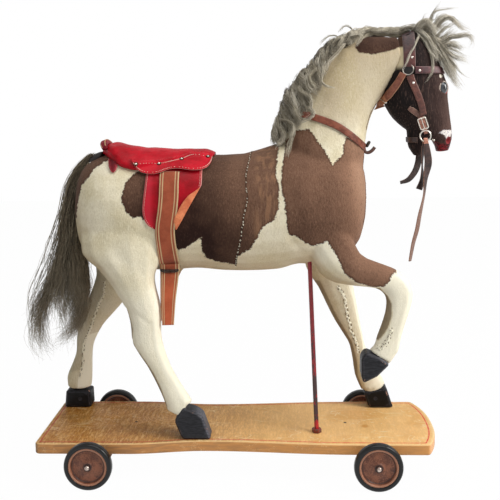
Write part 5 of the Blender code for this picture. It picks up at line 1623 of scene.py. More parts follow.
# The collar's buckle and curled end at the chest: rows of (x, y, z, twist, width)
collarEnd = [(217, 1, 471, 90, 8.4), (216.5, 1, 464, 90, 8.6), (218, 1, 457.5, 90, 8.6),
             (223, 1, 455.6, 90, 8.4), (229, 0.5, 458.5, 90, 8), (234, 0, 464.5, 90, 6)]
collarBuckle = {
    "middle": (223.0, 1.5, 469.5), "reach": (2.0, 6.5, 3.4),
    "prong": [(219.5, 1.5, 466), (222, 1.5, 470), (225.5, 1.5, 472)],
}


# The collar's curled end, and its squared buckle: each side is sign * |sin|^0.5 or |cos|^0.4
def makeCollarEnd(rows):
    _, left, right, up = ribbonLines(rows, 8)
    end = strapPiece("collarEnd", left, right, up, 5.0 * mm)
    placed(end, "strap", finish=leather("collarEndLeather", "241513", "41261f", "6b4a3f"))
    t = turnOf(60)
    upright = rounded(np.sin(t), 0.5)
    shares = np.stack((upright, rounded(np.cos(t), 0.4), upright), -1)
    lines = onDeck(collarBuckle["middle"] + shares * collarBuckle["reach"])
    placed(wire("collarBuckle", lines, 1.9 * mm, 10, True, (1, 0, 0.2)), "steel", finish=darkIron)
    bar = smoothRows(onDeck(collarBuckle["prong"]), 5)
    placed(wire("collarProng", bar, 1.3 * mm, 8, guide=(0, 1, 0)), "steel", finish=darkIron)


makeCollarEnd(collarEnd)
reinLook = leather("reinLeather", "2f2422", "4b3733", "a0755c", 0.55, 0.1, scuff=0.25,
                   fades=(("8b6a5c", 0.065, 0.095),))
shortLook = leather("shortReinLeather", "2b201e", "46332f", "7a5c50", 0.55, 0.1)
foldLook = leather("foldLeather", "a8705c", "d6967e", "e0b49c", 0.65, 0.0)
reinLook.on(nearLong)
shortLook.on(nearShort, farTail, farFold)
foldLook.on(nearFold)
print("bridle made")

# Saddle: the trunk under it as (x, top z, bottom z, half width) in mm, and its pieces' outlines
saddle = {
    "trunk": [(-258, 399, 342, 24), (-240, 442, 287, 60), (-215, 455, 272, 71), (-180, 460, 265, 76),
              (-120, 458, 263, 75), (-50, 455, 263, 73), (20, 456, 262, 73)],
    # The seat: (x, edge in degrees from upright), then (x, height in mm)
    "edge": [(-212, 3), (-209.5, 7), (-205, 15), (-194, 27), (-177, 39.5), (-163, 43.5), (-152, 45),
             (-140, 43), (-114, 37), (-80, 27), (-37, 20), (-28.5, 11)],
    "height": [(-212, 9), (-206, 14.5), (-196, 16.5), (-187, 16), (-171, 12.5), (-154, 10.5), (-138, 9.6),
               (-122, 8.6), (-100, 8.6), (-67, 9), (-46, 8.6), (-36, 6.4), (-28.5, 3.5)],
    # The skirt's line of studs and its lower edge: (x, z)
    "seam": [(-157, 443), (-150, 442.5), (-130, 444), (-114, 445), (-97, 448), (-79, 452), (-62, 455.5),
             (-37, 455), (-30, 453)],
    "foot": [(-157, 445), (-152, 439), (-143, 432.5), (-135, 429.5), (-124, 428), (-115, 429), (-105, 432.5),
             (-95, 435.5), (-84, 436), (-74, 434.5), (-60, 432.5), (-48, 433.5), (-40, 436), (-34, 441),
             (-31, 447), (-30, 455)],
    "studs": [(-149.5, 442), (-114, 445), (-79, 451.5), (-37, 454.5)],
    "standoff": 4.6, "skirtLeather": 2.0,
    # The flap's top and bottom z, and the heights between which its front corner folds over
    "flapSpan": (436, 341.4), "foldSpan": (409, 404), "foldTop": 407,
    # The flap: its rear edge, then its front fold line, as (z, x)
    "flapRear": [(341, -118), (343, -121), (349, -130), (359, -135.5), (372, -138), (387, -137), (408, -135),
                 (436, -133)],
    "flapFront": [(341, -85), (356, -76), (374, -66), (393, -55), (408, -46.5), (412, -45.4), (420, -45),
                  (436, -45)],
    # The cut edge of the corner that is folded over: (z, x)
    "fold": [(341, -86), (348, -87.5), (358, -88), (373, -81), (386, -73), (395, -65), (401, -56),
             (407, -47.5)],
}


# y = middle + half * sin^0.92, z = middle + depth * cos^0.92, raised along (0, sin * depth, cos * half)
def onTrunk(x, angle, height=0.0):
    x, angle, height = np.broadcast_arrays(*(np.asarray(v, float) for v in (x, angle, height)))
    top, bottom, half = np.moveaxis(tableAt(smoothRows(saddle["trunk"], 6), x), -1, 0)
    depth, middle = (top - bottom) / 2, (top + bottom) / 2
    s, c = np.sin(angle), np.cos(angle)
    lean = unit(np.stack((0 * s, s * depth, c * half), -1))
    place = np.stack((x, horseMiddle + half * rounded(s, 0.92), middle + depth * rounded(c, 0.92)), -1)
    return place + lean * height[..., None], lean


# The angle at which the trunk, raised by height, stands as high as z: halved 26 times
def angleAt(x, z, height=0.0):
    low, high = np.zeros(np.shape(x)), np.full(np.shape(x), 2.4)
    for _ in range(26):
        middle = (low + high) / 2
        above = onTrunk(x, middle, height)[0][..., 2] > z
        low, high = np.where(above, middle, low), np.where(above, high, middle)
    return (low + high) / 2


# The angle of the seat's edge at x
def seatEdge(x):
    return np.radians(tableAt(smoothRows(saddle["edge"], 4), x)[..., 0])


# The seat's height over the trunk: a crown (1 - share^4)^0.5 over its edge, share = angle / edge angle
def seatHeight(x, angle):
    spread = seatEdge(x)
    height = tableAt(smoothRows(saddle["height"], 4), x)[..., 0]
    share = np.clip(np.abs(angle) / spread, 0, 1)
    edge = np.minimum(height, 6)
    return 0.8 + edge * 0.5 + (height - edge * 0.5) * np.sqrt(np.clip(1 - share ** 4, 0, 1)), share


# Red leather with creases and painted highlight flecks, a paler cut edge between two distances from the
# sheet's middle, and a painted highlight along a flap's rear edge
def redLeather(name, deep, bright, uvLine=None, coat=0.05, paintedRearHighlight=False):
    finish = Finish(name, coat=coat, coatRough=0.25, specular=0.15)
    flow = finish.flow
    cloud = grain(flow, 0.03, 3)
    pores = grain(flow, 0.0013, 4)
    creases = grain(flow, 0.006, 4, (1.8, 1, 0.8))
    colour = layered(
        blended(deep, bright, ramp(cloud, 0.35, 0.65)),
        # painted highlight flecks on the creases and grain
        ("d8324a", ramp(creases * 0.6 + pores * 0.4, 0.54, 0.68) * 0.15),
        ("6c0812", ramp(grain(flow, 0.011, 4), 0.6, 0.8) * 0.4),
    )
    if uvLine:
        across = coordinate(flow, 0, "UV")
        rim = ramp(abs(across - 0.5) + (pores - 0.5) * 0.02, *uvLine)
        colour = blended(colour, "e2a49a", rim * 0.7)
    if paintedRearHighlight:
        # Painted highlight along the flap's rear edge, behind x = -0.135 m
        x = coordinate(flow, 0)
        colour = blended(colour, "e23c50", (1 - ramp(x + (cloud - 0.5) * 0.006, -0.140, -0.130)) * 0.35)
    finish.set(colour=colour, rough=0.42 + ramp(creases, 0.4, 0.7) * 0.18)
    return finish.relief(pores * 0.00035 + creases * 0.0006 + cloud * 0.001, 0.7)


# A sheet's two faces and its rim: each place of a grid plus and minus half the thickness along its normal
def slab(name, places, normals, thickness):
    rows, columns = places.shape[:2]
    push = unit(normals) * thickness / 2
    thin = np.minimum(1, 0.35 + np.minimum(np.arange(columns), np.arange(columns)[::-1])
                      * 0.65)[None, :, None]
    grid = np.concatenate((places + push * thin, (places - push * thin)[:, ::-1]), 1)
    u = np.concatenate((np.linspace(0, 1, columns), np.linspace(1, 0, columns)))
    v = np.linspace(0, 1, rows)
    marks = np.stack((np.broadcast_to(u, grid.shape[:2]), np.broadcast_to(v[:, None], grid.shape[:2])), -1)
    return skinPiece(name, grid, marks)


# The seat's top is its height plus folds, crimped at the back; its underside lies on the trunk
def makeSeat():
    rows, columns = 150, 72
    random = np.random.default_rng(3)
    first, last = saddle["edge"][0][0], saddle["edge"][-1][0]
    x = (first + (last - first) * np.linspace(0, 1, rows))[:, None]
    share = np.sin(np.linspace(-1, 1, columns) * math.pi / 2)[None, :]
    angle = seatEdge(x) * share
    height, _ = seatHeight(x + 0 * share, angle)
    folds = (bell(x, -190, 9) * np.sin(angle * 16 + 1) * 0.9
             + bell(x, -165, 26) * np.sin(angle * 9 + x * 0.05) * 0.8
             - 1.6 * bell(x + 22 * np.abs(angle), -140, 9) * (1 - share ** 2)
             - 1.0 * bell(x, -95, 16) * (1 - share ** 2) + 0.8 * bell(x, -42, 9) * (1 - share ** 4))
    wave = drift(random, (rows, columns), 6, 0)
    wave = (wave + np.roll(wave, 1, 1) + np.roll(wave, -1, 1)) / 3
    height = height + (folds + wave * 0.12) * (1 - np.abs(share) ** 6)
    top, _ = onTrunk(x + 0 * share, angle, height)
    back = bell(x, first, 5)
    top[..., 0] += back * (1.6 * np.sin(angle * 34) + 1.2 * np.sin(angle * 21 + 2)) - 2.0 * back
    low, _ = onTrunk(x + 0 * share, angle * 0.985, 0.8)
    grid = onDeck(np.concatenate((top, low[:, ::-1]), 1))
    seat = skinPiece("saddleSeat", grid)
    placed(seat, "saddle", "saddle_seat", finish=redLeather("seatLeather", "9e0012", "be0a20"))


# The roll behind the seat: x = rear + bow t^2, height = crown - bow t^2, half sizes = first - second t^2
cantle = {
    "spread": 17, "rear": -210.5, "crown": 20.5, "bow": 5, "wide": (6.6, 2.2), "tall": (4.6, 1.6),
    "teeth": 9, "edges": ((-4.2, 2.6), (1.5, 4.9)), "edgeRadius": 0.55,
    # The tab below it on each side: its rear x, top z, fall and half width
    "tab": (-190, 452, 21, 8.2), "tabHeight": 2.4,
}


# Its pinked edge follows teeth of |(9 t mod 1) - 1/2| * 2
def makeCantle(plan):
    t = np.linspace(-1, 1, 90)
    angle = np.radians(plan["spread"]) * t
    x = plan["rear"] + plan["bow"] * t ** 2
    height = plan["crown"] - plan["bow"] * t ** 2
    path, lean = onTrunk(x, angle, height)
    tooth = np.abs(((t * plan["teeth"]) % 1) - 0.5) * 2
    ringAngle = fullTurn * np.arange(20) / 20
    wide, tall = ((first - second * t ** 2)[:, None] for first, second in (plan["wide"], plan["tall"]))
    wide = wide + 1.3 * (tooth[:, None] - 0.5) * (np.cos(ringAngle) < -0.3)
    tall = tall * (1 + 0.08 * np.sin(angle * 60)[:, None])
    rear = np.broadcast_to((1.0, 0, 0), path.shape)
    grid = (path[:, None, :] + rear[:, None, :] * (np.cos(ringAngle) * wide)[..., None]
            + lean[:, None, :] * (np.sin(ringAngle) * tall)[..., None])
    roll = skinPiece("cantleRoll", onDeck(grid))
    placed(roll, "saddle", finish=redLeather("rollLeather", "5c0814", "8c1224", coat=0.1))
    edge = leather("cutEdge", "c9a27c", "e6cfae", "b98c66", 0.7, 0.0)
    for shift, place in plan["edges"]:
        zig, _ = onTrunk(x + shift + 1.7 * (tooth - 0.5), angle, height + place)
        trim = wire("cantleEdge", onDeck(zig), plan["edgeRadius"] * mm, 6, guide=(1, 0, 0))
        placed(trim, "saddle", finish=edge)
    rearX, topZ, fall, halfWide = plan["tab"]
    raised = plan["tabHeight"]
    for label, side in bothSides:
        a = np.linspace(0, 1, 30)[:, None]
        b = np.linspace(-1, 1, 16)[None, :]
        z = topZ - fall * a
        half = halfWide * np.sqrt(np.clip(1 - (a * 1.02) ** 3, 0.0, 1)) * (1 - 0.15 * a) + 0.3
        xs = rearX + 4 * a + half * b
        angles = angleAt(xs, z + 0 * xs, raised)
        placesMm, normals = onTrunk(xs, angles * side, raised + 1.2 * np.sin(b * 3))
        piece = slab(label + "Tab", onDeck(placesMm), normals, 1.4 * mm)
        placed(piece, "saddle", finish=redLeather("tabRed", "6e0d18", "9c2a34", (0.44, 0.5), 0.1))


# The skirt lies on the seat down to its edge, then stands off over flap and girth
def skirtLift(x, angle):
    height, _ = seatHeight(x, angle)
    onSeat = 1 - smoothStep(np.abs(angle), seatEdge(x) - 0.04, seatEdge(x) + 0.10)
    return np.maximum(saddle["standoff"], height * onSeat + 0.5)


# A grid's points (rows, columns, 3) at a share of the way across, one share for each row
def acrossAt(grid, shares):
    stops = np.linspace(0, 1, grid.shape[1])
    return np.array([[np.interp(at, stops, column) for column in row.T] for row, at in zip(grid, shares)])


# The skirt runs from the seam's angle down to the foot's, with studs and two rows of stitches
def makeSkirts():
    redLook = redLeather("skirtLeather", "a50014", "c80d24", (0.487, 0.499))
    thread = Finish("paleThread", rough=0.7)
    thread.set(colour=blended("d9b7a6", "f0dccb", grain(thread.flow, 0.002)))
    eyelets = metalFinish("eyeletMetal", "4b3a2c", "1d1512", 0.4, 0.8)
    steps = 150
    foot = evenly(smoothRows(saddle["foot"], 6), steps)
    seam = tableAt(smoothRows(saddle["seam"], 6), foot[:, 0])[:, 0]
    x = foot[:, 0]
    footAngle = angleAt(x, foot[:, 1], saddle["standoff"] + 1)
    seamAngle = np.minimum(angleAt(x, seam, 7.5), footAngle)
    topAngle = np.clip(seamAngle - 0.07, 0.02, footAngle - 0.005)
    share = np.linspace(0, 1, 30)[None, :]

    # Places at a share of the way from one angle line to the other
    def surfaceAt(xs, angles, side, extra):
        lift = skirtLift(xs, angles)
        places, normals = onTrunk(xs, angles * side, lift + extra + flare(xs, angles))
        return onDeck(places), normals

    def flare(xs, angles):
        low = np.interp(xs, x, footAngle)
        near01 = smoothStep(angles, low - 0.16, low)
        return near01 * (0.5 + 1.6 * bell(xs, -60, 20) + 0.7 * bell(xs, -118, 14))

    for label, side in bothSides:
        angles = topAngle[:, None] + (footAngle - topAngle)[:, None] * share
        xs = x[:, None] + 0 * share
        places, normals = surfaceAt(xs, angles, side, saddle["skirtLeather"] / 2)
        for _ in range(4):
            places[:, 1:-1] = (places[:, :-2] + 2 * places[:, 1:-1] + places[:, 2:]) / 4
        skirt = slab(label + "Skirt", places, normals, saddle["skirtLeather"] * mm)
        placed(skirt, "saddle", label + "_skirt", finish=redLook)
        grid = places + unit(normals) * saddle["skirtLeather"] * 0.5 * mm
        bottom = grid[:, -1]
        inset = np.clip(2.6 * mm / np.maximum(np.linalg.norm(grid[:, 0] - bottom, axis=-1), 1e-6), 0, 0.9)
        keep = slice(6, -4, 2)
        line = acrossAt(grid[keep], 1 - inset[keep])
        sewn = stitches(label + "FootStitch", line, normals[keep, -1], 2.3 * mm, 1.7 * mm, 0.42 * mm,
                        0.15 * mm)
        placed(sewn, "saddle", finish=thread)
        at = np.clip((seamAngle - topAngle) / np.maximum(footAngle - topAngle, 1e-4), 0, 1)
        keep = np.where((x > -149) & (x < -38) & (footAngle - seamAngle > 0.05))[0]
        line = acrossAt(grid[keep], at[keep])
        sewn = stitches(label + "SeamStitch", line, unit(normals[keep, 3]), 2.3 * mm, 1.7 * mm,
                        0.42 * mm, 0.1 * mm)
        placed(sewn, "saddle", finish=thread)
        studs = np.array(saddle["studs"], float)
        studA = angleAt(studs[:, 0], studs[:, 1], 7.5)
        places, normals = surfaceAt(studs[:, 0], studA, side, saddle["skirtLeather"])
        placed(domes(label + "Eyelets", places, normals, 3.6, 1.3, eyeletRows, 28), "steel", finish=eyelets)
        placed(domes(label + "Studs", places + normals * 0.4 * mm, normals, 1.75, 1.6), "steel",
               finish=nickel)


# The flap hangs between its rear and front lines, and its lower front corner is folded back
def makeFlaps():
    redLook = redLeather("flapLeather", "8f0512", "ad0a1d", (0.478, 0.497), 0.1, True)
    thread = bpy.data.materials["paleThread"]
    suede = Finish("foldedSuede", rough=0.85, sheen=0.2)
    flow = suede.flow
    fuzz = grain(flow, 0.0016, 4)
    suede.set(colour=blended(blended("c9653c", "ec9160", ramp(grain(flow, 0.018, 3), 0.35, 0.65)),
                             "a94e2c", ramp(fuzz, 0.52, 0.72) * 0.5))
    suede.relief(fuzz * 0.0004)
    rows, columns = 90, 30
    top, bottom = saddle["flapSpan"]
    z = np.linspace(bottom, top, rows)[::-1]
    rear = np.interp(z, *np.array(smoothRows(saddle["flapRear"], 6)).T)
    front = np.interp(z, *np.array(smoothRows(saddle["flapFront"], 4)).T)
    cut = np.interp(z, *np.array(smoothRows(saddle["fold"], 6)).T)
    for label, side in bothSides:
        share = np.linspace(0, 1, columns)[None, :]
        xs = rear[:, None] + (front - rear)[:, None] * share
        zs = z[:, None] + 0 * share
        fall = (top - z)[:, None] / 95
        lift = 1.2 + 0.5 * fall + 1.2 * fall ** 2 * bell(share, 0.02, 0.12)
        folding = smoothStep(zs, *saddle["foldSpan"])
        lift = lift + folding * 1.3 * bell(share, 1, 0.05)
        angles = angleAt(xs, zs, lift)
        placesMm, normals = onTrunk(xs, angles * side, lift)
        flap = slab(label + "Flap", onDeck(placesMm), normals, 1.5 * mm)
        placed(flap, "saddle", label + "_flap", finish=redLook)
        wide, inner, upper = front - rear, slice(4, -4), z > saddle["foldSpan"][0]
        for end, at, rowsNow, column in (
            ("FlapStitch", 2.6 / np.maximum(wide, 6), inner, 1), ("FrontStitch", 1 - 3.2 / wide, upper, -2),
        ):
            up = normals[rowsNow, column]
            line = onDeck(acrossAt(placesMm[rowsNow], at[rowsNow])) + up * 0.75 * mm
            sewn = stitches(label + end, line, up, 2.2 * mm, 1.6 * mm, 0.3 * mm, 0.05 * mm)
            placed(sewn, "saddle")
            sewn.data.materials.append(thread)
        lower = z <= saddle["foldTop"]
        across = np.linspace(0, 1, 16)[None, :]
        zf = z[lower][:, None] + 0 * across
        xf = front[lower][:, None] + (cut[lower] - front[lower])[:, None] * across
        bow = np.sin(across * math.pi * 0.62)
        width01 = np.clip((front[lower] - cut[lower]) / 22, 0, 1)[:, None]
        liftF = 2.6 + 0.5 * (top - zf) / 95 + 2.6 * bow * width01
        anglesF = angleAt(xf, zf, liftF)
        foldMm, normalsF = onTrunk(xf, anglesF * side, liftF)
        fold = slab(label + "FlapFold", onDeck(foldMm), normalsF, 1.3 * mm)
        placed(fold, "saddle", finish=suede)


makeSeat()
makeCantle(cantle)
makeSkirts()
makeFlaps()
print("saddle made")

# Girth: woven webbing with cream stripes, its loop and hanging end
girth = {
    "centre": (-95, 5, 365), "axis": (1, 0, 0), "start": (0, -0.643, 0.766), "sweep": 280,
    "width": 31, "count": 150, "lift": 1.5, "far": 0.25,
    # The strap leans back as it goes down the side: out's z from 0.77 to -1 moves it by up to -5.5 mm
    "slant": lambda out: -1.5 - 4.0 * smoothStep(-out[:, 2], -0.45, 0.35) - 3.0 * bell(out[:, 2], -0.4, 0.35),
    "endRows": [(-99.5, 0, 0, 0, 29.5), (-99.5, 0, 12, 0, 29), (-100.5, 5, 32, 5, 26.5),
                (-102, 9, 57, 10, 23), (-103.5, 10, 97, 14, 19)],
    "hang": 281, "thickness": 1.5,
    # The loop: its shift, half width, half height, sag and wire radius
    "loopShift": (-4.5, 0, -2.0), "loop": (14.2, 1.5, 1.6, 1.1),
}


# Ribs along the webbing: sin(v) crossed by fine weft; stripes by u
def webbingFinish():
    finish = Finish("wovenWebbing", rough=0.85, sheen=0.15, specular=0.2)
    flow = finish.flow
    u, v = coordinate(flow, 0, "UV"), coordinate(flow, 1, "UV")
    fuzz = grain(flow, 0.0014, 4)
    u = u + (fuzz - 0.5) * 0.012
    band = lambda low, high: ramp(u, low - 0.006, low + 0.006) * (1 - ramp(u, high - 0.006, high + 0.006))
    cream = band(0.03, 0.08) + band(0.155, 0.21) + band(0.79, 0.835) + band(0.935, 2)
    worn = grain(flow, 0.02, 3)
    rust = layered(
        blended("a54a2e", "c3603f", ramp(worn, 0.35, 0.65)),
        ("c97c58", ramp(fuzz, 0.5, 0.7) * 0.3), ("a5603f", band(0.835, 0.935) * 0.7),
    )
    height = coordinate(flow, 2)
    hanging = 1 - ramp(height, 0.30, 0.345)
    rust = layered(
        rust,
        ("d5683f", hanging * 0.45), ("7c4732", (1 - hanging) * 0.3),
    )
    weft = flow.node("Math", {"operation": "SINE"}, {0: v * 5200})
    warp = flow.node("Math", {"operation": "SINE"}, {0: u * 230 + weft * 0.5})
    colour = blended(rust, blended("c5a67c", "dcc095", fuzz), cream)
    # Painted shade in the weave's hollows
    colour = blended(colour, "5c2d1c", ramp(weft * 0.5 + warp * 0.5, -0.2, -0.9) * 0.35)
    finish.set(colour=colour)
    return finish.relief(weft * 0.00012 + warp * 0.00012 + fuzz * 0.0002, 0.8)


# The webbing round the belly, its hanging end, and a rounded loop that sags by a cosine
def makeGirth(plan):
    look = webbingFinish()
    trees = treeOf(hidePiece, bpy.data.objects["nearFlap"], bpy.data.objects["farFlap"])
    left, right, up = loopRails(trees, plan, soften=14)
    thick = plan["thickness"] * mm
    placed(strapPiece("girthBand", left, right, up, thick), "webbing", "girth", finish=look)
    middle, _ = planeOf("girth_loop")
    outside = cornersOf("girth_loop")[1][1] / mm + 0.9
    rows = np.array(plan["endRows"], float)
    rows[:, 1] = outside - rows[:, 1] + 0.4
    rows[:, 2] = plan["hang"] + 1 - rows[:, 2]
    _, a, b, normal = ribbonLines(rows, 14)
    placed(strapPiece("girthEnd", a, b, normal, thick), "webbing", "girth_end", finish=look)
    t = turnOf(80)
    halfWide, halfHigh, sag, radius = plan["loop"]
    drop = sag * np.cos(np.cos(t) * math.pi / 2)
    outline = (rounded(np.cos(t), 0.35) * halfWide, 0 * t, rounded(np.sin(t), 0.5) * halfHigh - drop)
    path = middle + (np.stack(outline, -1) + plan["loopShift"]) * mm
    loop = wire("girthLoop", path, radius * mm, 8, True, (0, 1, 0))
    placed(loop, "steel", "girth_loop", finish=darkIron)


makeGirth(girth)
print("girth made")

# Hooves, blocks and nut: bevelled copies of nodes, with each point's distance to the nearest worn edge

# The node's sharp edges as line segments, and a copy with those edges bevelled and its faces divided
def bevelledCopy(name, node, bevel, cuts, sharp=22):
    shape = bmesh.new()
    shape.from_mesh(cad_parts[node].data)
    bmesh.ops.remove_doubles(shape, verts=shape.verts, dist=2e-5)
    bmesh.ops.dissolve_limit(shape, angle_limit=math.radians(2), verts=shape.verts, edges=shape.edges)
    bmesh.ops.recalc_face_normals(shape, faces=shape.faces)
    edges = [edge for edge in shape.edges if edge.is_manifold
             and edge.calc_face_angle(0) > math.radians(sharp)]
    lines = np.array([[tuple(v.co) for v in edge.verts] for edge in edges])
    bmesh.ops.bevel(shape, geom=edges, offset=bevel * mm, segments=3, profile=0.5, affect="EDGES",
                    clamp_overlap=True)
    bmesh.ops.triangulate(shape, faces=shape.faces)
    bmesh.ops.subdivide_edges(shape, edges=shape.edges, cuts=cuts, use_grid_fill=True)
    mesh = bpy.data.meshes.new(name)
    shape.to_mesh(mesh)
    shape.free()
    mesh.shade_smooth()
    points = meshArrays(mesh)[0]
    nearest = np.full(len(points), 1.0)
    for start, end in lines:
        span = end - start
        share = np.clip((points - start) @ span / (span @ span), 0, 1)[:, None]
        nearest = np.minimum(nearest, np.linalg.norm(points - start - span * share, axis=1))
    setValues(mesh, edge=nearest / mm)
    return added(name, mesh)


# 1 on worn edges, 0 further in than reach: 1 - ramp(distance + noise * amount)
def edgeWear(flow, reach, amount, size=0.004):
    chips = grain(flow, size, 4)
    return 1 - ramp(readOut(flow, "edge") + (chips - 0.5) * amount, reach * 0.4, reach)


# Black painted wood: dull, chipped to pink primer at the corners, with a painted highlight on the near
# hooves' fronts
def hoofFinish():
    finish = Finish("hoofPaint", coat=0.05, coatRough=0.35, specular=0.22)
    flow = finish.flow
    cloud = grain(flow, 0.012, 4)
    scrape = grain(flow, 0.003, 4, (3, 1, 0.6), (0, 0.6, 0))
    colour = layered(
        blended("030304", "0e0e10", ramp(cloud, 0.4, 0.68)),
        ("47474d", ramp(scrape, 0.62, 0.78) * 0.35),
        ("3d3d44", edgeWear(flow, 1.8, 5.0) * 0.4),
    )
    ahead = readOut(flow, "ahead")
    # painted highlight on the near hooves' fronts
    colour = blended(colour, blended("3c3c44", "66666e", ramp(scrape, 0.4, 0.6)), ahead * 0.8)
    chipped = edgeWear(flow, 0.6, 6.0, 0.0032) * ramp(grain(flow, 0.014, 2), 0.6, 0.7)
    colour = blended(colour, blended("c99a84", "8d6757", scrape), chipped)
    finish.set(colour=colour, rough=0.42 + ramp(scrape, 0.4, 0.7) * 0.25)
    return finish.relief(cloud * 0.001 - chipped * 0.0004 + scrape * 0.0003, 0.8)


# The far hooves stand a little apart from their plain blocks: (moved along x in mm, share of the height)
hoofFits = {"far_hind": (-5.5, 0.73), "far_fore": (4.5, 0.79)}
# The near hind hoof's top is worn lower: (either side, x, z, reach, move x, move z) in mm
hoofPull = (0, -79, 123, 14, -4, -7)


# Each hoof is a bevelled copy of its block, fitted to the leg, with its front marked for a painted highlight
def makeHooves():
    look = hoofFinish()
    made = {}
    for name in ("near_hind", "far_hind", "near_fore", "far_fore"):
        side, end = name.split("_")
        piece = bevelledCopy(side + end.title() + "Hoof", name + "_hoof", 1.3, 3)
        points = meshArrays(piece.data)[0]
        if name in hoofFits:
            shift, share = hoofFits[name]
            points[:, 0] += shift * mm
            floor = points[:, 2].min()
            points[:, 2] = floor + (points[:, 2] - floor) * share
        if name == "near_hind":
            points = pulled(points, [hoofPull])
        movePoints(piece.data, points)
        # How much each point gets the painted highlight: the near hooves' slanting fronts most, the rest of
        # the near hooves a little
        facing = meshArrays(piece.data)[1][:, 0]
        setValues(piece.data, ahead=(0.2 + 0.8 * smoothStep(facing, 0.25, 0.6)) * (side == "near"))
        made[name] = placed(piece, "hoof", name + "_hoof", finish=look)
    # A plugged nail hole on the outer side of each standing hoof
    for name, label in (("far_fore", "foreHoofPeg"), ("far_hind", "hindHoofPeg")):
        tree = treeOf(made[name])
        low, high = cornersOf(name + "_hoof")
        start = np.array((low[0] * 0.52 + high[0] * 0.48, -0.2, low[2] * 0.62 + high[2] * 0.38))
        places, normals = castTo(tree, start[None], (0, 1, 0))
        ring = domes(label, places, normals, 3.4, 0.5, [(1, -0.6), (1, 0.5), (0.9, 1), (0.74, 0.9),
                                                        (0.66, 0.2), (0.2, 0.1)], 24)
        placed(ring, "hoof", finish=look)


makeHooves()
print("hooves made")

# The deck, in mm from the origin: narrowed at its waist, with a bowed front, rounded corners and edges
deck = {
    "rear": -330.5, "front": 299.0, "bow": 19.5, "bowPower": 2.5, "top": 63.4, "thickness": 17.4,
    "half": 90.0, "waist": 12.0, "waistAt": -56.5, "reach": (125.0, 240.0), "corner": 9.0, "edge": 2.6,
    "nailHoles": [(-181.8, -2.7, 2.5), (173.2, -3.9, 2.4)], "paleDots": [(233.8, -8.1, 1.2), (205, -18, 7.0)],
    "line": 7.6, "frontLine": 9.4, "lineHalf": 1.05, "whorl": (-124.0, 32.0),
}


# Half width: 90 - 12 cos^2(share pi / 2), share = min(|x - waist| / reach, 1)
def deckHalf(x):
    away = x - deck["waistAt"]
    share = np.minimum(np.abs(away) / np.where(away < 0, *deck["reach"]), 1)
    return deck["half"] - deck["waist"] * np.cos(share * math.pi / 2) ** 2


# The near half of the outline, from the rear end's corner to the tip of the bow
def deckSide():
    corner, rear = deck["corner"], deck["rear"]
    half = float(deckHalf(np.array(rear)))
    turn = np.linspace(0, math.pi / 2, 9)
    start = np.stack((rear + corner * (1 - np.cos(turn)), -(half - corner) - corner * np.sin(turn)), -1)
    x = np.linspace(rear + corner, deck["front"] - 5, 110)[1:]
    long = np.stack((x, -deckHalf(x)), -1)
    y = -(deck["half"] - 4) * np.cos(np.linspace(0.06, math.pi / 2, 40))
    bow = np.stack((deck["front"] + deck["bow"] * (1 - (-y / deck["half"]) ** deck["bowPower"]), y), -1)
    tip = np.array((deck["front"], -deck["half"]))
    t = np.linspace(0, 1, 9)[1:-1, None]
    bend = (1 - t) ** 2 * long[-1] + 2 * t * (1 - t) * tip + t ** 2 * bow[0]
    return np.concatenate((start, long, bend, bow))


# The side's points moved inwards by a step: side - normal * inset, the tip and the end kept on their lines
def stepped(side, inset):
    along = unit(np.gradient(side, axis=0))
    along[0], along[-1] = (0, -1), (0, 1)
    moved = side + np.stack((-along[:, 1], along[:, 0]), -1) * inset
    moved[0] = (side[0, 0] + inset, side[0, 1])
    moved[-1] = (side[-1, 0] - inset, 0)
    return moved
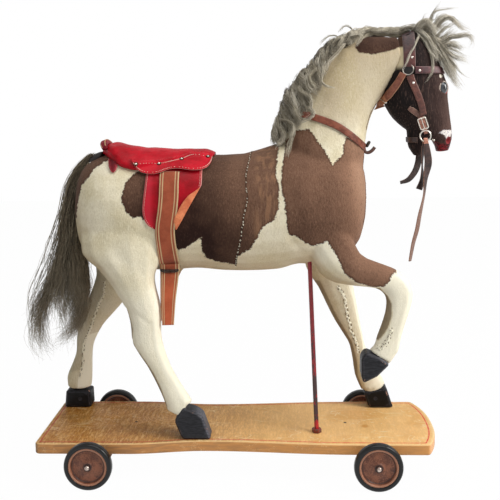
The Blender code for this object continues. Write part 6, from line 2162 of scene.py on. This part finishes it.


# Varnished board: fine grain, flecks, darker stains, thin scratches, and a red line set in from the edge;
# with painted light towards its front, a painted highlight on its rounded top edge, and painted light and
# shade on its end faces
def deckFinish():
    finish = Finish("varnishedBoard", coat=0.05, coatRough=0.32, specular=0.14)
    flow = finish.flow
    place = flow.node("TexCoord", output="Object")
    fine = grain(flow, 0.0020, 5, (1.0, 4.0, 1), (0, 0, -0.25))
    bands = grain(flow, 0.012, 4, (1, 6, 1), (0, 0, -0.1))
    figure = grain(flow, 0.006, 3, (0.6, 3.2, 1), (0, 0, -0.35))
    stain = grain(flow, 0.06, 4, (1.3, 0.8, 1))
    whorlX, whorlY = deck["whorl"]
    moved = flow.node("Mapping", {},
                      {"Vector": place, "Location": (-whorlX * mm, -whorlY * mm, -deck["top"] * mm)})
    swirl = flow.node("TexWave", {"wave_type": "RINGS", "rings_direction": "Z"}, {
        "Vector": moved, "Scale": 40.0, "Distortion": 3.5, "Detail": 2.0, "Detail Scale": 0.25}, "Fac")
    around = 1 - ramp(flow.node("VectorMath", {"operation": "LENGTH"}, {0: moved}, 1), 0.03, 0.085)
    colour = layered(
        blended("a86c2c", "d09a52", ramp(bands * 0.3 + fine * 0.7, 0.42, 0.59)),
        ("f0c98e", ramp(figure, 0.54, 0.66) * 0.5),
        ("7e5022", ramp(figure, 0.46, 0.34) * 0.4),
        ("d9b07a", ramp(swirl, 0.7, 0.95) * around * 0.5),
        ("765736", ramp(stain, 0.52, 0.74) * 0.5),
    )
    # Painted light: the board, its sides and its red line lighter towards the front, darker towards the rear
    paintedFrontLight = ramp(coordinate(flow, 0), -0.2, 0.16)
    colour = layered(
        colour,
        ("8e5f2e", (1 - paintedFrontLight) * 0.25), ("ffd08c", paintedFrontLight * 0.7),
        ("cd8a35", ramp(grain(flow, 0.09, 2), 0.55, 0.7) * 0.35),
    )
    for turn, size in ((0.5, 0.05), (-0.9, 0.04), (1.9, 0.06), (0.1, 0.045), (1.2, 0.03), (-0.4, 0.05)):
        wave = grain(flow, size, 1.5, (2.2, 0.7, 1), (0, 0, turn))
        line = 1 - ramp(abs(wave - 0.5), 0.0, 0.007)
        colour = blended(colour, "f3dcae", line * ramp(grain(flow, 0.03 + size / 3, 2), 0.48, 0.60)
                         * (paintedFrontLight * 0.4 + 0.4))
    upward = coordinate(flow, 2, "Normal")
    side = 1 - ramp(upward, 0.35, 0.9)
    rim = layered(
        blended("8c430c", "bb6a1c", ramp(grain(flow, 0.004, 4, (7, 7, 1)), 0.38, 0.62)),
        ("dd8a30", paintedFrontLight * 0.5),
        ("ecc99a", ramp(grain(flow, 0.009, 4, (2.0, 2.0, 1)), 0.64, 0.70) * 0.3),
    )
    scribble = abs(grain(flow, 0.012, 2.5) - 0.5)
    rim = layered(
        rim,
        ("f0cf9f", (1 - ramp(scribble, 0.0, 0.008)) * ramp(grain(flow, 0.05), 0.46, 0.6) * 0.7),
        ("5b3516", ramp(grain(flow, 0.03, 3), 0.58, 0.75) * 0.5),
    )
    # Painted light and shade on the sides: lighter where they face the front, darker where they face the rear
    facing = coordinate(flow, 0, "Normal")
    rim = layered(
        rim,
        ("e9a878", ramp(facing, 0.3, 0.6) * 0.8),
        ("5a2e12", ramp(facing, -0.2, -0.6) * 0.8),
    )
    colour = blended(colour, rim, side)
    x, y = coordinate(flow, 0) * 1000, coordinate(flow, 1) * 1000
    away = x - deck["waistAt"]
    reach = deck["reach"][0] + ramp(away, -0.01, 0.01) * (deck["reach"][1] - deck["reach"][0])
    share = away.maths("MINIMUM", abs(away) / reach, 1.0)
    half = deck["half"] - (share.maths("COSINE", share * (math.pi / 2)) ** 2) * deck["waist"]
    ahead = deck["front"] + (1 - abs(y / deck["half"]) ** deck["bowPower"]) * deck["bow"] - x
    ahead = ahead - (deck["frontLine"] - deck["line"])
    inset = x.maths("MINIMUM", half - abs(y), x.maths("MINIMUM", ahead, x - deck["rear"]))
    worn = grain(flow, 0.005, 4)
    # Painted highlight along the rounded top edge
    colour = blended(colour, "f0cf97", (1 - ramp(inset + (worn - 0.5) * 4, 1.6, 3.2))
                     * (1 - side * 0.6) * 0.75)
    line = 1 - ramp(abs(inset - deck["line"] + (worn - 0.5) * 0.5), deck["lineHalf"] - 0.25,
                    deck["lineHalf"] + 0.35)
    red = blended("b0332a", "dd3a30", paintedFrontLight)
    colour = blended(colour, red, line * (1 - side) * (0.65 + ramp(worn, 0.62, 0.4) * 0.35))
    distance = lambda x, y: flow.node(
        "VectorMath", {"operation": "DISTANCE"}, {0: place, 1: (x * mm, y * mm, deck["top"] * mm)}, 1)
    holes = 0.0
    for x, y, size in deck["nailHoles"]:
        away = distance(x, y) + (worn - 0.5) * 0.0008
        holes = (1 - ramp(away, size * 0.7 * mm, size * 1.2 * mm)) + holes
    colour = blended(colour, "2a1a10", holes)
    for x, y, size in deck["paleDots"]:
        away = distance(x, y) + (worn - 0.5) * 0.003
        shade = "f2e2c4" if size < 3 else "c8842e"
        colour = blended(colour, shade, (1 - ramp(away, size * 0.5 * mm, size * 1.3 * mm)) * 0.7)
    finish.set(colour=colour, rough=0.36 + ramp(stain, 0.4, 0.7) * 0.18 + side * 0.08)
    return finish.relief(fine * 0.00025 + bands * 0.0002 + figure * 0.0001 - holes * 0.0015, 0.7)


# Rings round the rim, and a top and underside stretched between the two long sides, welded into one skin
def makeDeck():
    side = deckSide()
    radius, top, bottom = deck["edge"], deck["top"], deck["top"] - deck["thickness"]
    turn = np.linspace(0, math.pi / 2, 6)
    rings = [(radius * (1 - math.sin(a)), top - radius * (1 - math.cos(a))) for a in turn]
    rings += [(0.0, z) for z in np.linspace(top - radius, bottom + radius, 5)[1:-1]]
    rings += [(radius * (1 - math.sin(a)), bottom + radius * (1 - math.cos(a))) for a in turn[::-1]]
    across = np.sin(np.linspace(-1, 1, 25) * math.pi / 2)
    parts, quads, shift = [], [], 0
    for inset, z in ((radius, top), (radius, bottom)):
        line = stepped(side, inset)
        grid = np.stack(np.broadcast_arrays(line[:, None, 0], -line[:, None, 1] * across[None], np.array(z)),
                        -1)
        parts.append(grid.reshape(-1, 3))
        quads.append(gridFaces(len(line), len(across)) + shift)
        shift += grid[..., 0].size
    loop = []
    for inset, z in rings:
        line = stepped(side, inset)
        end = np.stack((np.full(25, line[0, 0]), -line[0, 1] * across), -1)
        ring = np.concatenate((line, (line * (1, -1))[::-1][1:], end[::-1][1:-1]))
        loop.append(np.concatenate((ring, np.full((len(ring), 1), z)), 1))
    loop = np.array(loop)
    parts.append(loop.reshape(-1, 3))
    quads.append(gridFaces(len(loop), loop.shape[1], False, True) + shift)
    board = makePiece("deckBoard", np.concatenate(parts) * mm, np.concatenate(quads))
    shape = bmesh.new()
    shape.from_mesh(board.data)
    bmesh.ops.remove_doubles(shape, verts=shape.verts, dist=2e-6)
    bmesh.ops.dissolve_degenerate(shape, edges=shape.edges, dist=1e-6)
    bmesh.ops.recalc_face_normals(shape, faces=shape.faces)
    shape.to_mesh(board.data)
    shape.free()
    placed(board, "deck", "deck", finish=deckFinish())


makeDeck()
print("deck made")

# Wheels: profiles of (radius, distance out from the wheel's middle plane) in mm
wheels = {
    "tyre": [(31.3, -6.4), (33.5, -7.0), (35.6, -6.6), (37.0, -5.4), (37.8, -3.4), (38.0, -1.2), (38.0, 1.2),
             (37.8, 3.4), (37.0, 5.4), (35.6, 6.6), (33.5, 7.0), (31.3, 6.4), (30.6, 5.0), (30.6, -5.0)],
    "disc": [(31.0, 3.6), (30.6, 5.2), (29.6, 6.2), (28.2, 6.2), (27.2, 5.2), (26.5, 2.6), (25.4, 1.2),
             (23.6, 0.9), (18, 1.7), (12, 2.8), (8.6, 3.6), (7.4, 4.6), (6.2, 5.3), (5.2, 5.4), (3.6, 5.4)],
    # The cap's second number is a share of its length
    "cap": [(0.02, 0.0), (3.9, 0.0), (4.0, 0.2), (3.9, 0.44), (3.5, 0.7), (2.7, 0.9), (1.5, 0.98),
            (0.02, 1.0)],
}


# Brown painted tinplate with dust and bright scratches, a painted highlight on the raised rim, and painted
# shade in the groove inside the rim and round the hub
def discFinish():
    finish = Finish("wheelPaint", coat=0.15, coatRough=0.3, specular=0.4)
    flow = finish.flow
    cloud = grain(flow, 0.014, 4)
    speck = grain(flow, 0.0014, 4)
    radius = readOut(flow, "radius")
    # Painted highlight on the raised rim
    rim = ramp(radius, 26.6, 27.6)
    colour = layered(
        blended("5a2f1c", "8f583e", ramp(cloud * 0.5 + speck * 0.5, 0.42, 0.58)),
        ("b98468", rim * 0.65), ("b08472", ramp(speck, 0.6, 0.75) * 0.4),
        ("3d211a", ramp(grain(flow, 0.006, 4), 0.6, 0.75) * 0.4),
    )
    # Painted shade in the groove inside the rim and in the hollow round the hub
    paintedGrooveShade = ramp(radius, 23.4, 25.6) * (1 - ramp(radius, 26.0, 27.0)) + (1 - ramp(radius, 5.5, 8.5)) * 1.2
    colour = blended(colour, "241310", paintedGrooveShade * 0.75)
    finish.set(colour=colour, rough=0.42 + ramp(cloud, 0.4, 0.7) * 0.15)
    return finish.relief(speck * 0.0002 + cloud * 0.0005, 0.6)


# Black rubber, dusty and scuffed
def tyreFinish():
    finish = Finish("blackRubber", specular=0.25, coat=0.35, coatRough=0.16)
    flow = finish.flow
    dust = grain(flow, 0.008, 4)
    scuff = grain(flow, 0.002, 4)
    colour = blended("020202", "0b0b0c", ramp(dust, 0.4, 0.65))
    colour = blended(colour, "332e2b", ramp(scuff * 0.5 + dust * 0.5, 0.58, 0.70) * 0.35)
    finish.set(colour=colour, rough=0.34 + ramp(dust, 0.4, 0.7) * 0.25)
    return finish.relief(scuff * 0.0003, 0.7)


# Tyre and disc are turned about Y at the tyre's middle; the cap stays with the axle
def makeWheels():
    tyreLook, discLook = tyreFinish(), discFinish()
    half = smoothRows(wheels["disc"], 3)
    discProfile = np.concatenate((half, (half * (1, -1))[::-1]))
    tyreProfile = np.array(wheels["tyre"])
    closed = smoothRows(np.concatenate((tyreProfile, tyreProfile[:1])), 3)[:-1]
    for side, sign in bothSides:
        for end in ("rear", "front"):
            low, high = cornersOf("%s_%s_tyre" % (side, end))
            middle, label = (low + high) / 2, side + end.title()
            body = "%s_%s_wheel" % (side, end)
            tyre = turnedPiece(label + "Tyre", middle, closed * mm, 96, True)
            placed(tyre, "tyre", "%s_%s_tyre" % (side, end), body=body, finish=tyreLook)
            marks = np.broadcast_to(discProfile[:, :1], (len(discProfile), 96))
            disc = turnedPiece(label + "Disc", middle, discProfile * mm, 96, True, {"radius": marks})
            placed(disc, "disc", "%s_%s_disc" % (side, end), body=body, finish=discLook)
            low, high = cornersOf("%s_%s_cap" % (side, end))
            inner, outer = (high[1], low[1]) if sign < 0 else (low[1], high[1])
            rows = smoothRows(wheels["cap"], 3)
            profile = np.stack((rows[:, 0] * mm, rows[:, 1] * (outer - inner)), -1)
            cap = turnedPiece(label + "Cap", (middle[0], inner, middle[2]), profile, 40)
            placed(cap, "steel", "%s_%s_cap" % (side, end), finish=silverCap)


makeWheels()


# The rod's ends in mm from the deck's middle
rod = {"foot": (135, -42, 0.2), "head": (125, -18, 300), "radius": 3.6}


# Axles, blocks, the rod with its chipped red paint, and its nut
def makeStand():
    axleLook = metalFinish("axleSteel", "8f8a86", "4a3b33", 0.4, 0.8)
    blockLook = Finish("blockWood", specular=0.3)
    flow = blockLook.flow
    lines = grain(flow, 0.003, 4, (1, 8, 1))
    blockLook.set(colour=blended(blended("8a5a2c", "b9854c", ramp(lines, 0.36, 0.64)), "5e3c1e",
                                 edgeWear(flow, 1.2, 4) * 0.5), rough=0.6)
    blockLook.relief(lines * 0.0004)
    for end in ("rear", "front"):
        block = bevelledCopy(end + "AxleBlock", end + "_axle_block", 0.8, 2)
        placed(block, "block", end + "_axle_block", finish=blockLook)
        low, high = cornersOf(end + "_axle")
        middle = (low + high) / 2
        path = np.stack((np.full(40, middle[0]), np.linspace(low[1], high[1], 40), np.full(40, middle[2])),
                        -1)
        placed(wire(end + "Axle", path, (high[2] - low[2]) / 2, 24), "steel", end + "_axle", finish=axleLook)
    paint = Finish("chippedPaint", coat=0.25, coatRough=0.3)
    flow = paint.flow
    height = coordinate(flow, 2)
    long = grain(flow, 0.006, 4, (0.5, 0.5, 3.2))
    chips = grain(flow, 0.0035, 4, (1, 1, 1.6))
    band = ramp(height, 0.078, 0.088) * (1 - ramp(height, 0.14, 0.17))
    bare = ramp(long * 0.6 + chips * 0.4 + band * 0.11 - ramp(height, 0.2, 0.3) * 0.07
                - (1 - ramp(height, 0.078, 0.088)) * 0.05,
                0.51, 0.55)
    red = blended(blended("b3141f", "d8232c", ramp(chips, 0.4, 0.65)), "74101c",
                  ramp(height, 0.1, 0.2) * 0.75)
    paint.set(colour=blended(red, blended("31191c", "4f3434", chips), bare), rough=0.4 + bare * 0.2)
    paint.relief(long * 0.0004 - bare * 0.0004)
    foot, head = onDeck(rod["foot"]), onDeck(rod["head"])
    path = foot + (head - foot) * np.linspace(0, 1, 90)[:, None]
    pole = wire("supportRod", path, rod["radius"] * mm, 28, guide=(0, 1, 0))
    placed(pole, "rod", "support_rod", finish=paint)
    nutPaint = Finish("nutPaint", coat=0.1, coatRough=0.3, specular=0.3)
    flow = nutPaint.flow
    worn = ramp(grain(flow, 0.004, 4), 0.5, 0.62)
    nutPaint.set(colour=blended(blended("6a2620", "8e4234", grain(flow, 0.006)), "6a5046", worn), rough=0.45)
    placed(bevelledCopy("rodNut", "rod_nut", 0.7, 2, 30), "rod", "rod_nut", finish=nutPaint)


makeStand()
print("wheels, axles and rod made")

# Sewn seams: line of (x, z) from the origin, radius, patch, tone of the cord's painted light and shade, pitch
# and how far it zigzags, in mm
seamRows = {
    "farHindSeam": ([(-239, 299), (-242, 275), (-252, 256), (-261, 234), (-267, 218), (-277, 198),
                     (-284, 181), (-287, 155), (-290, 135), (-294, 118)], 1.7, -60, 0.7, 6.0, 1.5),
    "farForeSeam": ([(164, 290), (174, 273), (178, 257), (181, 240), (185, 224), (189, 207), (195, 193),
                     (200, 178), (202, 164)],
                    1.6, -60, 1.0, 6.6, 2.3),
    "fetlockSeam": ([(240, 246), (239, 236), (236, 226), (230, 216), (221, 210)], 1.6, -60, 1.0, 6.0, 2.2),
    "fetlockEdge": ([(240, 238), (234, 226), (226, 217), (217, 212)], 1.5, -60, 0.8, 5.2, 1.8),
    "barrelSeam": (hide["seams"]["barrel"], 0.8, 60, -0.6, 5.0, 0.7),
    "chestSeam": ([(202, 514), (204.5, 467), (204.5, 434), (200.5, 404)], 0.8, 60, -1.2, 5.0, 0.3),
    "neckSeam": ([(258, 648), (241, 617), (219.5, 593), (210.5, 572), (207, 557)], 0.7, 60, -1.2, 4.0, 0.7),
}


# Sewn edge: a lumpy cord on place + zig * sin(phase), a dark cord on its mirror image as a painted shadow,
# and pale flecks
def makeSeams(rows):
    random = np.random.default_rng(17)
    trees = treeOf(hidePiece)
    for name, (line, radius, patch, tone, pitch, zig) in rows.items():
        places, normals = fromSide(trees, smoothRows(line, 12) - deckCentre[[0, 2]], near)
        count = int(lengthOf(places) / (0.6 * mm))
        both = evenly(np.concatenate((places, normals), 1), count)
        place, up = both[:, :3], unit(both[:, 3:])
        side = unit(np.cross(np.gradient(place, axis=0), up))
        place = place + side * (drift(random, count, 5)[:, None] * 0.5 * mm)
        phase = np.arange(count) * 0.6 * fullTurn / pitch + drift(random, count, 6) * 0.7
        swing = side * (np.sin(phase) * zig * mm)[:, None]
        lump = radius * (0.5 + 0.5 * np.abs(np.cos(phase)))
        cord = wire(name, place + swing, lump * mm, 8)
        shade = wire(name + "Shade", place - swing * 1.15 + up * 0.15 * radius * mm, 0.5 * lump * mm, 6)
        high = place + up * (radius * 0.8) * mm + side * radius * 0.5 * mm
        sewn = stitches(name + "Stitch", high, up, pitch * mm, 2.2 * mm, 0.55 * mm, 0, 0.8)
        # Painted light and shade: the cord takes its tone, the shadow cord full painted shade
        for piece, turned, strip in ((cord, 0.3 - 0.3 * tone, tone), (shade, 1.3, -1.3), (sewn, 0.0, 0.7)):
            if piece is sewn and tone < -1:
                bpy.data.objects.remove(sewn)
                continue
            each = np.ones(len(piece.data.vertices))
            ground = -60.0 if piece is sewn else patch
            setValues(piece.data, patch=each * ground, turned=each * turned, strip=each * strip)
            placed(piece, "hide", finish=hideLook)


makeSeams(seamRows)


# The tail's root in its black leather sleeve: rows of (x, y, z, half width, half height), and its nail, in mm
dock = {
    "rows": [(-212, 4, 456, 3, 3), (-215, 4, 455, 12, 7), (-223, 4, 451, 16, 9.5), (-233, 4, 446, 15, 9.5),
             (-241, 4, 441, 9, 6.5), (-245, 4, 438, 2, 2)],
    "nailFrom": (-233.5, -60, 443.6), "nail": (1.9, 1.3),
}


# Each ring = centre + half width * cos across + half height * sin up
def makeDock(plan):
    rows = smoothRows(plan["rows"], 5)
    grid = carried(rows[:, :3], np.array([(0, 1, 0)]), np.array([(0, 0, 1)]), circle(28)[None]
                   * rows[:, None, 3:])
    sleeve = skinPiece("dockSleeve", onDeck(grid))
    look = leather("dockLeather", "120d0c", "241c1a", "3a302c", 0.55, 0.05, uv=False)
    placed(sleeve, "dark_hide", finish=look)
    place, normal = castTo(treeOf(sleeve), onDeck(plan["nailFrom"])[None], (0, 1, 0))
    placed(domes("dockNail", place, normal, *plan["nail"]), "steel", finish=nickel)


makeDock(dock)
print("seams and dock made")
